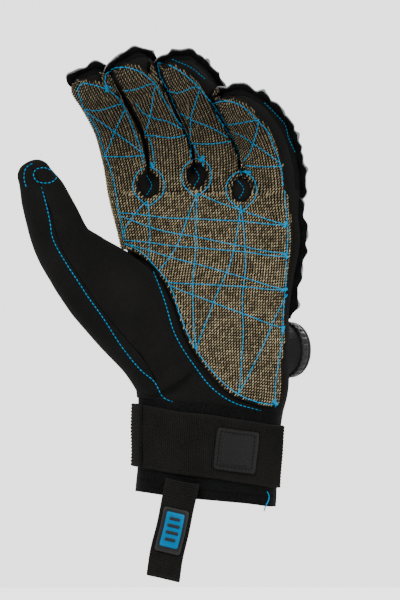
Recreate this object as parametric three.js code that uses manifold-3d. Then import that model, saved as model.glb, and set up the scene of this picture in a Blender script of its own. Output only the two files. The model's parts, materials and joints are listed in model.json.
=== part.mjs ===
import * as THREE from 'three';
import { mergeVertices } from 'three/addons/utils/BufferGeometryUtils.js';
import Module from 'manifold-3d';

// A left-hand water ski glove, open at the wrist, with its fingers half curled.
// Millimetres, +Z up the hand, the palm faces -Y and the thumb is at -X.
// The origin is the centre of the wrist opening, at the hem of the cuff.

const wasm = await Module();
wasm.setup();

// Cloth and leather thicknesses, and the clearance between sewn pieces.
const GAP = 0.3;
const WALL = 2.0;
const KNIT = 1.5;
const CUFF_WALL = 3.0;
const WEBBING = 1.4;
const FIN_OUT = 3.2;
const FIN_THICK = 1.6;

// How finely the lofted parts are divided.
const FINE = { fingerSides: 10, fingerRings: 6, thumbSides: 12, thumbRings: 7, palmSides: 18 };
const COARSE = { fingerSides: 6, fingerRings: 5, thumbSides: 8, thumbRings: 6, palmSides: 12 };
const CUFF_SIDES = 22;

// Seam places around each finger, as shares of its half thickness: 1 is the palm side, -1 the back.
const KNIT_EDGE = 0.12;
const FRONT_SEAM = 0.0;
const BACK_SEAM = -0.6;
const PALM_SEAM = 0.02;

// Each finger: how far it is turned to show its outer side, and its centre line and sizes from the
// palm to the start of its round tip.
const FINGERS = {
  index: {
    yaw: 14,
    rows: [
      { x: -30.0, y: 2, z: 122.0, wide: 19.0, thick: 24 },
      { x: -35.6, y: -1, z: 150.0, wide: 19.5, thick: 23 },
      { x: -38.5, y: -6, z: 165.0, wide: 20.0, thick: 22 },
      { x: -42.5, y: -15, z: 179.0, wide: 19.5, thick: 20 },
      { x: -49.0, y: -27, z: 191.5, wide: 19.0, thick: 18 },
      { x: -55.0, y: -38, z: 199.5, wide: 18.0, thick: 15 },
    ],
  },
  middle: {
    yaw: 12,
    rows: [
      { x: -15.0, y: 2, z: 124.0, wide: 23.0, thick: 24 },
      { x: -16.8, y: 0, z: 150.0, wide: 21.5, thick: 23 },
      { x: -18.0, y: -5, z: 166.0, wide: 21.0, thick: 22 },
      { x: -21.5, y: -15, z: 183.0, wide: 21.5, thick: 20 },
      { x: -29.0, y: -30, z: 198.0, wide: 22.0, thick: 18 },
      { x: -36.5, y: -43, z: 206.0, wide: 20.0, thick: 15 },
    ],
  },
  ring: {
    yaw: 20,
    rows: [
      { x: 8.0, y: 2, z: 124.0, wide: 22.0, thick: 24 },
      { x: 5.2, y: 1, z: 150.0, wide: 21.8, thick: 23 },
      { x: 4.2, y: -4, z: 166.0, wide: 21.5, thick: 22 },
      { x: 1.0, y: -14, z: 183.0, wide: 20.5, thick: 20 },
      { x: -6.5, y: -28, z: 198.0, wide: 20.5, thick: 18 },
      { x: -14.0, y: -40, z: 206.5, wide: 18.5, thick: 15 },
    ],
  },
  little: {
    yaw: 30,
    rows: [
      { x: 31.0, y: 1, z: 122.0, wide: 22.0, thick: 23 },
      { x: 32.8, y: 0, z: 148.0, wide: 24.0, thick: 23 },
      { x: 31.2, y: -5, z: 162.0, wide: 23.6, thick: 23 },
      { x: 27.6, y: -13, z: 175.0, wide: 22.6, thick: 21 },
      { x: 21.2, y: -24, z: 185.0, wide: 20.5, thick: 18 },
      { x: 15.0, y: -33, z: 190.5, wide: 18.0, thick: 15 },
    ],
  },
};
const FINGER_TIP = 6.5;
const FINGER_POWER = 2.7;

// The thumb, from the heel of the hand to the start of its round tip.
const THUMB = {
  yaw: -22,
  tip: 7.5,
  power: 2.3,
  rows: [
    { x: -14.0, y: -5, z: 60.0, wide: 44.0, thick: 36 },
    { x: -22.8, y: -8, z: 73.5, wide: 44.0, thick: 35 },
    { x: -38.0, y: -13, z: 89.8, wide: 43.5, thick: 33 },
    { x: -50.8, y: -18, z: 102.8, wide: 40.5, thick: 30 },
    { x: -61.4, y: -23, z: 112.8, wide: 34.0, thick: 28 },
    { x: -69.3, y: -27, z: 122.0, wide: 29.0, thick: 26 },
    { x: -74.7, y: -32, z: 136.0, wide: 25.5, thick: 23 },
    { x: -79.0, y: -35, z: 147.0, wide: 22.4, thick: 20 },
    { x: -82.8, y: -37, z: 155.2, wide: 16.4, thick: 16 },
  ],
};
// The seam down the front of the thumb, as shares of its half width at the heel and at the tip, and
// the seam behind it, as a share of its half thickness.
const THUMB_SEAM = { heel: -0.76, tip: -0.2, back: -0.1 };

// The palm and back of the hand, from the cuff to the knuckles.
const PALM_ROWS = [
  { x: 1.2, y: 1, z: 43.5, wide: 71.5, thick: 47, tilt: 7.0 },
  { x: 1.8, y: 1, z: 57.0, wide: 75.5, thick: 43, tilt: 4.5 },
  { x: 1.5, y: 1, z: 80.0, wide: 77.0, thick: 39, tilt: 2.0 },
  { x: 1.5, y: 1, z: 102.0, wide: 79.5, thick: 35, tilt: 0.0 },
  { x: 3.2, y: 1, z: 122.0, wide: 83.4, thick: 31, tilt: -1.5 },
  { x: 1.2, y: 0, z: 145.0, wide: 85.0, thick: 27, tilt: -3.0 },
];
const PALM_TOP = 15;
const PALM_POWER = 2.6;

// The cuff, from its hem to its top edge, leaning with the wrist.
const CUFF_ROWS = [
  { x: -1.0, y: 1, z: -1.0, wide: 68.5, thick: 48, tilt: 9.0 },
  { x: 0.6, y: 1, z: 20.0, wide: 68.4, thick: 49, tilt: 8.5 },
  { x: 1.6, y: 1, z: 43.0, wide: 71.0, thick: 50, tilt: 7.0 },
];
const CUFF_POWER = 2.4;
// The line across the wrist where the hand's panels are sewn to the cuff, at x = 0, and its slant.
const WRIST_LINE = { z: 44.2, tilt: 6.0 };
const HEM = -1.0;
const OVERRUN = 12;

// The strap round the cuff, its overlapping end, and the patch sewn on it.
const STRAP = { middle: 24.8, width: 30.6, tilt: 8.2 };
const STRAP_END = { right: -29.5, left: -60, back: 45 };
const PATCH = { x: 14.2, z: 22.6, size: 20.4, thick: 1.3, tilt: 6.6 };

// The folded webbing tab that hangs at the cuff's front, and its rubber label.
const TAB = { topX: -12.0, topZ: 8.2, lean: -11.3, length: 48.0, width: 16.2, sheet: 1.4, slot: 0.9 };
const PLATE = { down: 22.4, width: 12.6, height: 21.8, thick: 1.0 };
const INSET = { down: 22.0, width: 8.9, height: 17.0, thick: 0.6 };

// The closure dial on the outer edge of the back of the hand.
const DIAL = { x: 35.6, y: 11.4, z: 71.3, turn: 48, sides: 24 };
const HOUSING = { radius: 12.6, deep: 7.0, top: 2.2 };
const HUB = { radius: 4.6, bore: 3.4, low: 2.5, top: 4.7, sides: 16 };
const SPINDLE = { radius: 3.0, low: 2.5, top: 8.4, sides: 16 };
const SHOULDER = { radius: 6.0, low: 5.0, top: 6.6 };
const DIAL_ROOM = { radius: 15.2, low: -12, high: 16 };
const KNOB = { radius: 13.8, low: 2.6, top: 8.8, bevel: 0.8, hole: 3.3 };
const KNOB_RECESS = { radius: 10.4, roof: 6.9 };
const KNOB_GRIP = { notches: 16, deep: 0.7 };

// The knit overlay's edge over the palm, from the thumb side round the heel and up the outer side.
const KNIT_OUTLINE = [
  { x: -42.0, z: 120.3 }, { x: -34.9, z: 117.9 }, { x: -27.2, z: 112.5 }, { x: -21.8, z: 105.7 },
  { x: -17.9, z: 98.9 }, { x: -13.6, z: 88.3 }, { x: -9.7, z: 77.6 }, { x: -3.9, z: 66.4 },
  { x: 3.4, z: 56.3 }, { x: 11.6, z: 49.7 }, { x: 21.8, z: 45.6 }, { x: 32.0, z: 44.0 },
  { x: 35.6, z: 46.0 }, { x: 36.6, z: 63.0 }, { x: 38.6, z: 80.0 }, { x: 39.0, z: 100.0 },
  { x: 41.0, z: 120.0 }, { x: 41.6, z: 138.0 },
];

// Where the overlay stops short of each finger's end, so that the side panel shows round it: one
// outline for each finger, from the index to the little finger.
const KNIT_ENDS = [
  [
    { x: -68.4, z: 201.3 }, { x: -63.5, z: 202.2 }, { x: -56.7, z: 201.8 }, { x: -50.0, z: 200.3 },
    { x: -50.9, z: 204.2 }, { x: -52.9, z: 206.6 }, { x: -55.8, z: 213.0 }, { x: -68.4, z: 213.0 },
  ],
  [
    { x: -53.4, z: 205.6 }, { x: -49.5, z: 209.5 }, { x: -39.3, z: 209.5 }, { x: -32.5, z: 208.1 },
    { x: -27.6, z: 204.2 }, { x: -27.2, z: 209.0 }, { x: -27.9, z: 222.0 }, { x: -53.4, z: 222.0 },
  ],
  [
    { x: -28.3, z: 211.5 }, { x: -25.2, z: 212.9 }, { x: -19.4, z: 211.5 }, { x: -14.1, z: 208.6 },
    { x: -10.2, z: 206.1 }, { x: -4.9, z: 201.8 }, { x: -1.0, z: 197.4 }, { x: 1.0, z: 194.0 },
    { x: 4.4, z: 196.4 }, { x: 16.0, z: 202.2 }, { x: 16.0, z: 223.0 }, { x: -28.3, z: 223.0 },
  ],
  [
    { x: 1.5, z: 192.2 }, { x: 2.9, z: 193.0 }, { x: 9.7, z: 193.5 }, { x: 17.5, z: 191.6 },
    { x: 25.7, z: 183.8 }, { x: 30.6, z: 178.0 }, { x: 34.4, z: 168.8 }, { x: 36.9, z: 161.5 },
    { x: 38.0, z: 151.3 }, { x: 40.3, z: 140.2 }, { x: 62.0, z: 140.2 }, { x: 62.0, z: 205.0 },
    { x: 8.0, z: 197.5 },
  ],
];

// The openings at the forks between the fingers, and the slit that runs up from each.
const FORKS = [
  { x: -28.1, z: 151.3, wide: 10.2, high: 12.1, slit: [{ x: -30.0, z: 170 }, { x: -38.5, z: 190 }] },
  { x: -4.9, z: 155.7, wide: 9.7, high: 11.7, slit: [{ x: -9.0, z: 172 }, { x: -22.0, z: 203 }] },
  { x: 17.0, z: 148.9, wide: 9.7, high: 11.7, slit: [{ x: 14.5, z: 167 }, { x: 3.0, z: 190 }] },
];
const SLIT_WIDTH = 1.4;

// The section of each finger, counted from the palm, at which its raised seam edge starts.
const FIN_START = { index: 4, middle: 3, ring: 3, little: 1 };

const MATERIALS = {
  knit: new THREE.MeshStandardMaterial({ color: 0x8c7858, roughness: 0.92, metalness: 0 }),
  suede: new THREE.MeshStandardMaterial({ color: 0x1d1b1a, roughness: 0.95, metalness: 0 }),
  stretch: new THREE.MeshStandardMaterial({ color: 0x18181b, roughness: 0.8, metalness: 0 }),
  neoprene: new THREE.MeshStandardMaterial({ color: 0x1c1c22, roughness: 0.75, metalness: 0 }),
  webbing: new THREE.MeshStandardMaterial({ color: 0x1b1a19, roughness: 0.85, metalness: 0 }),
  leather: new THREE.MeshStandardMaterial({ color: 0x232325, roughness: 0.6, metalness: 0 }),
  rubber: new THREE.MeshStandardMaterial({ color: 0x2b2b2d, roughness: 0.65, metalness: 0 }),
  blueRubber: new THREE.MeshStandardMaterial({ color: 0x0f86bd, roughness: 0.5, metalness: 0 }),
  plastic: new THREE.MeshStandardMaterial({ color: 0x202124, roughness: 0.45, metalness: 0 }),
  steel: new THREE.MeshStandardMaterial({ color: 0x9a9da1, roughness: 0.35, metalness: 1 }),
};

const radians = THREE.MathUtils.degToRad;

/** A solid for joining and cutting, from a closed geometry, turned right side out if need be. */
function solidOf(geometry) {
  const bare = geometry.clone();
  bare.deleteAttribute('normal');
  bare.deleteAttribute('uv');
  const merged = mergeVertices(bare, 1e-4);
  const corners = merged.attributes.position.array;
  const faces = Uint32Array.from(merged.index.array);
  if (signedVolume(corners, faces) < 0) {
    for (let i = 0; i < faces.length; i += 3) {
      [faces[i + 1], faces[i + 2]] = [faces[i + 2], faces[i + 1]];
    }
  }
  return new wasm.Manifold(new wasm.Mesh({ numProp: 3, vertProperties: corners, triVerts: faces }));
}

/** Six times a closed mesh's volume, negative where its faces point in. */
function signedVolume(corners, faces) {
  const [a, b, c] = [new THREE.Vector3(), new THREE.Vector3(), new THREE.Vector3()];
  let sum = 0;
  for (let i = 0; i < faces.length; i += 3) {
    a.fromArray(corners, 3 * faces[i]);
    b.fromArray(corners, 3 * faces[i + 1]);
    c.fromArray(corners, 3 * faces[i + 2]);
    sum += a.dot(b.cross(c));
  }
  return sum;
}

/** A drawable geometry from a solid's largest piece. */
function geometryOf(solid) {
  const pieces = solid.decompose();
  const largest = pieces.reduce((best, piece) => (piece.volume() > best.volume() ? piece : best));
  const mesh = largest.getMesh();
  const geometry = new THREE.BufferGeometry();
  const corners = new Float32Array(mesh.numVert * 3);
  for (let i = 0; i < mesh.numVert; i += 1) {
    for (let k = 0; k < 3; k += 1) corners[3 * i + k] = mesh.vertProperties[mesh.numProp * i + k];
  }
  geometry.setAttribute('position', new THREE.BufferAttribute(corners, 3));
  geometry.setIndex(new THREE.BufferAttribute(Uint32Array.from(mesh.triVerts), 1));
  const flat = geometry.toNonIndexed();
  flat.computeVertexNormals();
  return flat;
}

const joined = (solids) => solids.reduce((all, solid) => all.add(solid));

/** A closed geometry through rings of points, with a flat face or one point at each end. */
function loft(rings) {
  const corners = rings.flat();
  const sides = rings[0].length;
  const faces = [];
  for (let r = 0; r + 1 < rings.length; r += 1) {
    for (let k = 0; k < sides; k += 1) {
      const next = (k + 1) % sides;
      const [a, b] = [r * sides + k, r * sides + next];
      faces.push(a, b, b + sides, a, b + sides, a + sides);
    }
  }
  const centreOf = (ring) => ring.reduce((sum, p) => sum.add(p), new THREE.Vector3()).divideScalar(sides);
  const first = corners.push(centreOf(rings[0])) - 1;
  const last = corners.push(centreOf(rings[rings.length - 1])) - 1;
  const top = (rings.length - 1) * sides;
  for (let k = 0; k < sides; k += 1) {
    const next = (k + 1) % sides;
    faces.push(first, next, k, last, top + k, top + next);
  }
  const geometry = new THREE.BufferGeometry().setFromPoints(corners);
  geometry.setIndex(faces);
  return geometry;
}

/** Evenly spaced sections along a curved part: centre, directions and half sizes of each. */
function sectionsAlong({ rows, yaw }, count) {
  const path = new THREE.CatmullRomCurve3(rows.map((row) => new THREE.Vector3(row.x, row.y, row.z)));
  const sizes = new THREE.CatmullRomCurve3(rows.map((row) => new THREE.Vector3(row.wide, row.thick, 0)));
  const palmward = new THREE.Vector3(-Math.sin(radians(yaw)), -Math.cos(radians(yaw)), 0);
  return Array.from({ length: count }, (_, i) => {
    const t = i / (count - 1);
    const along = path.getTangent(t);
    const across = new THREE.Vector3().crossVectors(along, palmward).normalize();
    const front = new THREE.Vector3().crossVectors(across, along);
    const size = sizes.getPoint(t);
    return { t, centre: path.getPoint(t), along, across, front, a: size.x / 2, b: size.y / 2 };
  });
}

/** Sections stacked up the wrist and palm, each tilted about the Y axis as its row says. */
function sectionsStacked(rows) {
  return rows.map((row) => {
    const tilt = radians(row.tilt);
    return {
      centre: new THREE.Vector3(row.x, row.y, row.z),
      along: new THREE.Vector3(Math.sin(tilt), 0, Math.cos(tilt)),
      across: new THREE.Vector3(Math.cos(tilt), 0, -Math.sin(tilt)),
      front: new THREE.Vector3(0, -1, 0),
      a: row.wide / 2,
      b: row.thick / 2,
    };
  });
}

/** A point of a section, from its distances across and to the front. */
function pointOn(section, across, front, along = 0) {
  return section.centre.clone()
    .addScaledVector(section.across, across)
    .addScaledVector(section.front, front)
    .addScaledVector(section.along, along);
}

/** One rounded ring round a section. */
function roundRing(section, grow, sides, power, shrink = 1, along = 0) {
  return Array.from({ length: sides }, (_, k) => {
    const angle = (2 * Math.PI * (k + 0.5)) / sides;
    const bend = (value) => Math.sign(value) * Math.abs(value) ** (2 / power);
    const across = (section.a + grow) * bend(Math.cos(angle)) * shrink;
    const front = (section.b + grow) * bend(Math.sin(angle)) * shrink;
    return pointOn(section, across, front, along);
  });
}

/** Rings that close a round end past a section. */
function domeRings(section, grow, sides, power, length) {
  return [38, 72].map((degrees) => {
    const angle = radians(degrees);
    return roundRing(section, grow, sides, power, Math.cos(angle) ** 0.8, (length + grow) * Math.sin(angle));
  });
}

/** A round-ended solid through sections, all round larger by a distance. */
function roundedSolid(sections, grow, sides, power, dome) {
  const rings = sections.map((section) => roundRing(section, grow, sides, power));
  if (dome) rings.push(...domeRings(sections[sections.length - 1], grow, sides, power, dome));
  return solidOf(loft(rings));
}

/** A box-like solid along sections, from one distance to another across and towards the front. */
function slab(sections, limits, past = 14) {
  const corner = (section, [across, front], along) => pointOn(section, across, front, along);
  const ringAt = (section, along) => {
    const { left, right, back, front } = limits(section);
    return [[left, back], [right, back], [right, front], [left, front]]
      .map((place) => corner(section, place, along));
  };
  const rings = sections.map((section) => ringAt(section, 0));
  rings.unshift(ringAt(sections[0], -1));
  rings.push(ringAt(sections[sections.length - 1], past));
  return solidOf(loft(rings));
}

/** A solid that stands on an outline in the X-Z plane and runs along Y between two depths. */
function prism(outline, near, far) {
  const shape = new THREE.Shape(outline.map((p) => new THREE.Vector2(p.x, p.z)));
  const geometry = new THREE.ExtrudeGeometry(shape, { depth: far - near, bevelEnabled: false });
  geometry.rotateX(Math.PI / 2);
  geometry.translate(0, far, 0);
  return solidOf(geometry);
}

const fingerNames = Object.keys(FINGERS);
const fingerSections = fingerNames.map((name) => sectionsAlong(FINGERS[name], FINE.fingerRings));
const thumbSections = sectionsAlong(THUMB, FINE.thumbRings);
const palmSections = sectionsStacked(PALM_ROWS);
const cuffSections = sectionsStacked(CUFF_ROWS);

const palmSolid = (grow, { palmSides } = FINE) => (
  roundedSolid(palmSections, grow, palmSides, PALM_POWER, PALM_TOP)
);
const cuffSolid = (grow) => roundedSolid(cuffSections, grow, CUFF_SIDES, CUFF_POWER, 0);

/** One finger's solid, larger all round by a distance, divided as finely as asked. */
function fingerSolid(i, grow, { fingerSides, fingerRings } = FINE) {
  const sections = sectionsAlong(FINGERS[fingerNames[i]], fingerRings);
  return roundedSolid(sections, grow, fingerSides, FINGER_POWER, FINGER_TIP);
}

/** The thumb's solid, larger all round by a distance, divided as finely as asked. */
function thumbSolid(grow, { thumbSides, thumbRings } = FINE) {
  return roundedSolid(sectionsAlong(THUMB, thumbRings), grow, thumbSides, THUMB.power, THUMB.tip);
}

/** The whole hand, all round larger by a distance. */
function handSolid(grow, fineness = FINE) {
  const fingers = fingerNames.map((_, i) => fingerSolid(i, grow, fineness));
  return joined([palmSolid(grow, fineness), thumbSolid(grow, fineness), ...fingers]);
}

/** A thick slanting plate across the wrist, from one height to another at x = 0. */
function wristBand(low, high, tilt) {
  const reach = 110;
  const drop = Math.tan(radians(tilt)) * reach;
  const outline = [
    { x: -reach, z: low + drop }, { x: reach, z: low - drop },
    { x: reach, z: high - drop }, { x: -reach, z: high + drop },
  ];
  return prism(outline, -reach, reach);
}

/** Limits of a slab that lies between two shares of a section's half thickness. */
function between(backShare, frontShare, grow = 0, side = 6) {
  return (section) => ({
    left: -section.a - side,
    right: section.a + side,
    back: backShare <= -1 ? -section.b - side : backShare * section.b - grow,
    front: frontShare >= 1 ? section.b + side : frontShare * section.b + grow,
  });
}

/** Limits of the thumb's front panel, which its seam bounds on the outer side. */
function thumbFront(grow, side = 8) {
  return (section) => ({
    left: THREE.MathUtils.lerp(THUMB_SEAM.heel, THUMB_SEAM.tip, section.t) * section.a - grow,
    right: section.a + side,
    back: THUMB_SEAM.back * section.b - grow,
    front: section.b + side,
  });
}

/** The palm side of the glove as one solid body, before its hollow is cut. */
function frontBody(grow) {
  const fingers = fingerSections.map((sections, i) => fingerSolid(i, grow)
    .intersect(slab(sections, between(FRONT_SEAM, 1, grow))));
  const palm = palmSolid(grow).intersect(slab(palmSections, between(PALM_SEAM, 1, grow, 12)));
  const thumb = thumbSolid(grow).intersect(slab(thumbSections, thumbFront(grow)));
  return joined([palm, thumb, ...fingers]);
}

/** The sides of one finger, which meet round its tip. */
function sideBody(i, grow) {
  const limits = between(BACK_SEAM, FRONT_SEAM, grow);
  return fingerSolid(i, grow).intersect(slab(fingerSections[i].slice(1), limits));
}

const wristSections = palmSections.slice(0, 2);
wristSections[0] = { ...wristSections[0], centre: pointOn(wristSections[0], 0, 0, -OVERRUN) };
const wristHollow = roundedSolid(wristSections, -WALL, COARSE.palmSides, PALM_POWER, 0);
const hollow = handSolid(-WALL, COARSE).add(wristHollow);
const aboveCuff = wristBand(WRIST_LINE.z + GAP, 300, WRIST_LINE.tilt);
const frontGrown = frontBody(GAP);
const sidesGrown = fingerNames.map((_, i) => sideBody(i, GAP));

const palmBase = frontBody(0).subtract(hollow).intersect(aboveCuff);
const palmGrown = palmSolid(GAP);
const sidePanels = fingerNames.map((_, i) => sidesGrown.slice(0, i).reduce(
  (panel, other) => panel.subtract(other),
  sideBody(i, 0).subtract(frontGrown).subtract(hollow).subtract(palmGrown),
));
const thumbBack = thumbSolid(0).subtract(frontGrown).subtract(palmGrown).subtract(hollow)
  .intersect(aboveCuff);
const backPanel = joined([palmSolid(0), ...fingerNames.map((_, i) => fingerSolid(i, 0))])
  .subtract(frontGrown).subtract(joined(sidesGrown)).subtract(hollow).intersect(aboveCuff);

/** The knit overlay's body at a distance out from the hand, before the hand is cut from it. */
function knitBody(grow) {
  const fingers = fingerSections.map((sections, i) => fingerSolid(i, grow)
    .intersect(slab(sections, between(KNIT_EDGE, 1))));
  const palm = palmSolid(grow).intersect(slab(palmSections, between(KNIT_EDGE * 0.5, 1, 0, 12)));
  const outer = [
    ...KNIT_OUTLINE, { x: 70, z: 142 }, { x: 70, z: 240 }, { x: -80, z: 240 }, { x: -80, z: 121 },
  ];
  const thenar = thumbSolid(grow).intersect(prism([
    ...KNIT_OUTLINE.slice(1), { x: 20, z: 138 }, { x: -38, z: 138 },
  ], -80, 0));
  return joined([palm, ...fingers]).intersect(prism(outer, -90, 40)).add(thenar);
}

/** The round opening at a fork, with the slit that runs up between the two fingers. */
function forkCutter({ x, z, wide, high, slit }) {
  const count = 12;
  const ring = Array.from({ length: count }, (_, k) => {
    const angle = (2 * Math.PI * k) / count;
    return { x: x + (wide / 2) * Math.cos(angle), z: z + (high / 2) * Math.sin(angle) };
  });
  const left = [{ x, z }, ...slit].map((p) => ({ x: p.x - SLIT_WIDTH / 2, z: p.z }));
  const right = [{ x, z }, ...slit].map((p) => ({ x: p.x + SLIT_WIDTH / 2, z: p.z }));
  return prism(ring, -90, 4).add(prism([...right, ...left.reverse()], -90, 4));
}

const handCleared = handSolid(GAP);
const palmKnit = knitBody(KNIT + GAP).subtract(handCleared)
  .subtract(joined([...FORKS.map(forkCutter), ...KNIT_ENDS.map((end) => prism(end, -90, 40))]));

/** A thin upstanding seam edge along a part's back seam. */
function finBody(solid, sections, share, grow) {
  return solid.intersect(slab(sections, (section) => ({
    left: -section.a - 9,
    right: section.a + 9,
    back: share * section.b - FIN_THICK / 2 - grow,
    front: share * section.b + FIN_THICK / 2 + grow,
  })));
}

const knitCleared = knitBody(KNIT + 2 * GAP);
const finAt = (i, grow) => (
  finBody(fingerSolid(i, FIN_OUT + grow), fingerSections[i].slice(FIN_START[fingerNames[i]]), BACK_SEAM, grow)
);
const finsGrown = fingerNames.map((_, i) => finAt(i, GAP));
const fingerFins = fingerNames.map((_, i) => finsGrown.slice(0, i).reduce(
  (fin, other) => fin.subtract(other),
  finAt(i, 0).subtract(handCleared).subtract(knitCleared),
));

const dialAxis = new THREE.Vector3(Math.sin(radians(DIAL.turn)), Math.cos(radians(DIAL.turn)), 0);
const dialTurn = new THREE.Quaternion().setFromUnitVectors(new THREE.Vector3(0, 0, 1), dialAxis);
const dialSeat = new THREE.Vector3(DIAL.x, DIAL.y, DIAL.z);
const dialPlace = new THREE.Matrix4().compose(dialSeat, dialTurn, new THREE.Vector3(1, 1, 1));

/** A turned part about the Z axis, from radius and height pairs. */
function turned(profile, sides = DIAL.sides) {
  return new THREE.LatheGeometry(profile.map(([r, z]) => new THREE.Vector2(r, z)), sides)
    .rotateX(Math.PI / 2);
}

const dialRoom = solidOf(turned([
  [0, DIAL_ROOM.low], [DIAL_ROOM.radius, DIAL_ROOM.low],
  [DIAL_ROOM.radius, DIAL_ROOM.high], [0, DIAL_ROOM.high],
]).applyMatrix4(dialPlace));
const edgeFin = finBody(palmSolid(FIN_OUT), palmSections, PALM_SEAM, 0)
  .intersect(prism([{ x: 20, z: 50 }, { x: 70, z: 50 }, { x: 70, z: 143 }, { x: 20, z: 143 }], -60, 60))
  .subtract(handCleared).subtract(knitCleared).subtract(dialRoom);

/** A profile's corners for a solid disc or, with a hole, a ring between two heights. */
function discProfile({ radius, low, top }, hole = 0) {
  return hole
    ? [[hole, low], [radius, low], [radius, top], [hole, top], [hole, low]]
    : [[0, low], [radius, low], [radius, top], [0, top]];
}

/** The housing: a round base whose underside follows the back panel. */
function housingSolid() {
  const { radius, deep, top } = HOUSING;
  return solidOf(turned(discProfile({ radius, low: -deep, top })).applyMatrix4(dialPlace))
    .subtract(handCleared);
}

/** The spindle: a pin with a shoulder under the knob. */
function spindleGeometry() {
  const { radius, low, top, sides } = SPINDLE;
  return turned([
    [0, low], [radius, low], [radius, SHOULDER.low], [SHOULDER.radius, SHOULDER.low],
    [SHOULDER.radius, SHOULDER.top], [radius, SHOULDER.top], [radius, top], [0, top],
  ], sides);
}

/** The knob: a notched cap, hollow underneath, with a hole for the spindle. */
function knobSolid() {
  const { radius, low, top, bevel, hole } = KNOB;
  const { notches, deep } = KNOB_GRIP;
  const rim = Array.from({ length: notches * 2 }, (_, k) => {
    const angle = (Math.PI * k) / notches;
    const r = radius - (k % 2) * deep;
    return new THREE.Vector2(r * Math.cos(angle), r * Math.sin(angle));
  });
  const body = new THREE.ExtrudeGeometry(new THREE.Shape(rim), {
    depth: top - low - bevel, bevelEnabled: false,
  }).translate(0, 0, low);
  const round = radius - deep;
  const cap = turned([
    [0, top - 1.5 * bevel], [round, top - 1.5 * bevel], [round, top - bevel], [round - bevel, top], [0, top],
  ]);
  const under = turned(discProfile({ radius: KNOB_RECESS.radius, low: low - 1, top: KNOB_RECESS.roof }));
  const through = turned(discProfile({ radius: hole, low: 0, top: top + 1 }));
  return solidOf(body).add(solidOf(cap)).subtract(solidOf(under)).subtract(solidOf(through));
}

const cuffBand = wristBand(HEM, WRIST_LINE.z, WRIST_LINE.tilt);
const cuff = cuffSolid(0)
  .subtract(roundedSolid(cuffSections.map((section, i) => ({
    ...section, centre: section.centre.clone().addScaledVector(section.along, (i - 1) * OVERRUN / 2),
  })), -CUFF_WALL, CUFF_SIDES, CUFF_POWER, 0))
  .intersect(cuffBand);

/** A band that lies round the cuff between two distances from it. */
function round(low, high) {
  return cuffSolid(high).subtract(cuffSolid(low));
}

const strapLow = STRAP.middle - STRAP.width / 2;
const strapBand = wristBand(strapLow, strapLow + STRAP.width, STRAP.tilt);
const strap = round(GAP, GAP + WEBBING).intersect(strapBand);
const endLow = GAP + WEBBING + GAP;
const strapEnd = round(endLow, endLow + WEBBING).intersect(strapBand).intersect(prism([
  { x: STRAP_END.left, z: -20 }, { x: STRAP_END.right, z: -20 },
  { x: STRAP_END.right, z: 70 }, { x: STRAP_END.left, z: 70 },
], -60, STRAP_END.back));

/** A square outline turned a little in the X-Z plane. */
function turnedRectangle({ x, z, wide, high, tilt }) {
  const turn = radians(tilt);
  return [[-1, -1], [1, -1], [1, 1], [-1, 1]].map(([i, k]) => {
    const [across, up] = [(i * wide) / 2, (k * high) / 2];
    return {
      x: x + across * Math.cos(turn) + up * Math.sin(turn),
      z: z - across * Math.sin(turn) + up * Math.cos(turn),
    };
  });
}

const patch = round(endLow, endLow + PATCH.thick).intersect(prism(turnedRectangle({
  x: PATCH.x, z: PATCH.z, wide: PATCH.size, high: PATCH.size, tilt: PATCH.tilt,
}), -60, 0));

/** The tab: webbing folded in two, seen from its side as a hairpin and as wide as the tab. */
function tabGeometry() {
  const { length, width, sheet, slot } = TAB;
  const outer = sheet + slot / 2;
  const shape = new THREE.Shape();
  shape.moveTo(-outer, 0);
  shape.lineTo(-outer, -length + outer);
  shape.absarc(0, -length + outer, outer, Math.PI, 2 * Math.PI);
  shape.lineTo(outer, 0);
  shape.lineTo(slot / 2, 0);
  shape.lineTo(slot / 2, -length + outer);
  shape.absarc(0, -length + outer, slot / 2, 2 * Math.PI, Math.PI, true);
  shape.lineTo(-slot / 2, 0);
  shape.closePath();
  return new THREE.ExtrudeGeometry(shape, { depth: width, bevelEnabled: false, curveSegments: 5 })
    .translate(0, 0, -width / 2)
    .rotateX(Math.PI / 2)
    .rotateZ(Math.PI / 2);
}

/** A thin rounded plate, facing the palm side. */
function plateGeometry({ width, height, thick }, corner) {
  const [w, h] = [width / 2, height / 2];
  const shape = new THREE.Shape();
  shape.moveTo(-w + corner, -h);
  shape.lineTo(w - corner, -h);
  shape.quadraticCurveTo(w, -h, w, -h + corner);
  shape.lineTo(w, h - corner);
  shape.quadraticCurveTo(w, h, w - corner, h);
  shape.lineTo(-w + corner, h);
  shape.quadraticCurveTo(-w, h, -w, h - corner);
  shape.lineTo(-w, -h + corner);
  shape.quadraticCurveTo(-w, -h, -w + corner, -h);
  return new THREE.ExtrudeGeometry(shape, { depth: thick, bevelEnabled: false, curveSegments: 3 })
    .rotateX(Math.PI / 2);
}

const glove = new THREE.Group();

/** Adds a named piece to the glove or to one of its groups. */
function addPiece(name, geometry, material, parent = glove) {
  const mesh = new THREE.Mesh(geometry, material);
  mesh.name = name;
  parent.add(mesh);
  return mesh;
}

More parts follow.
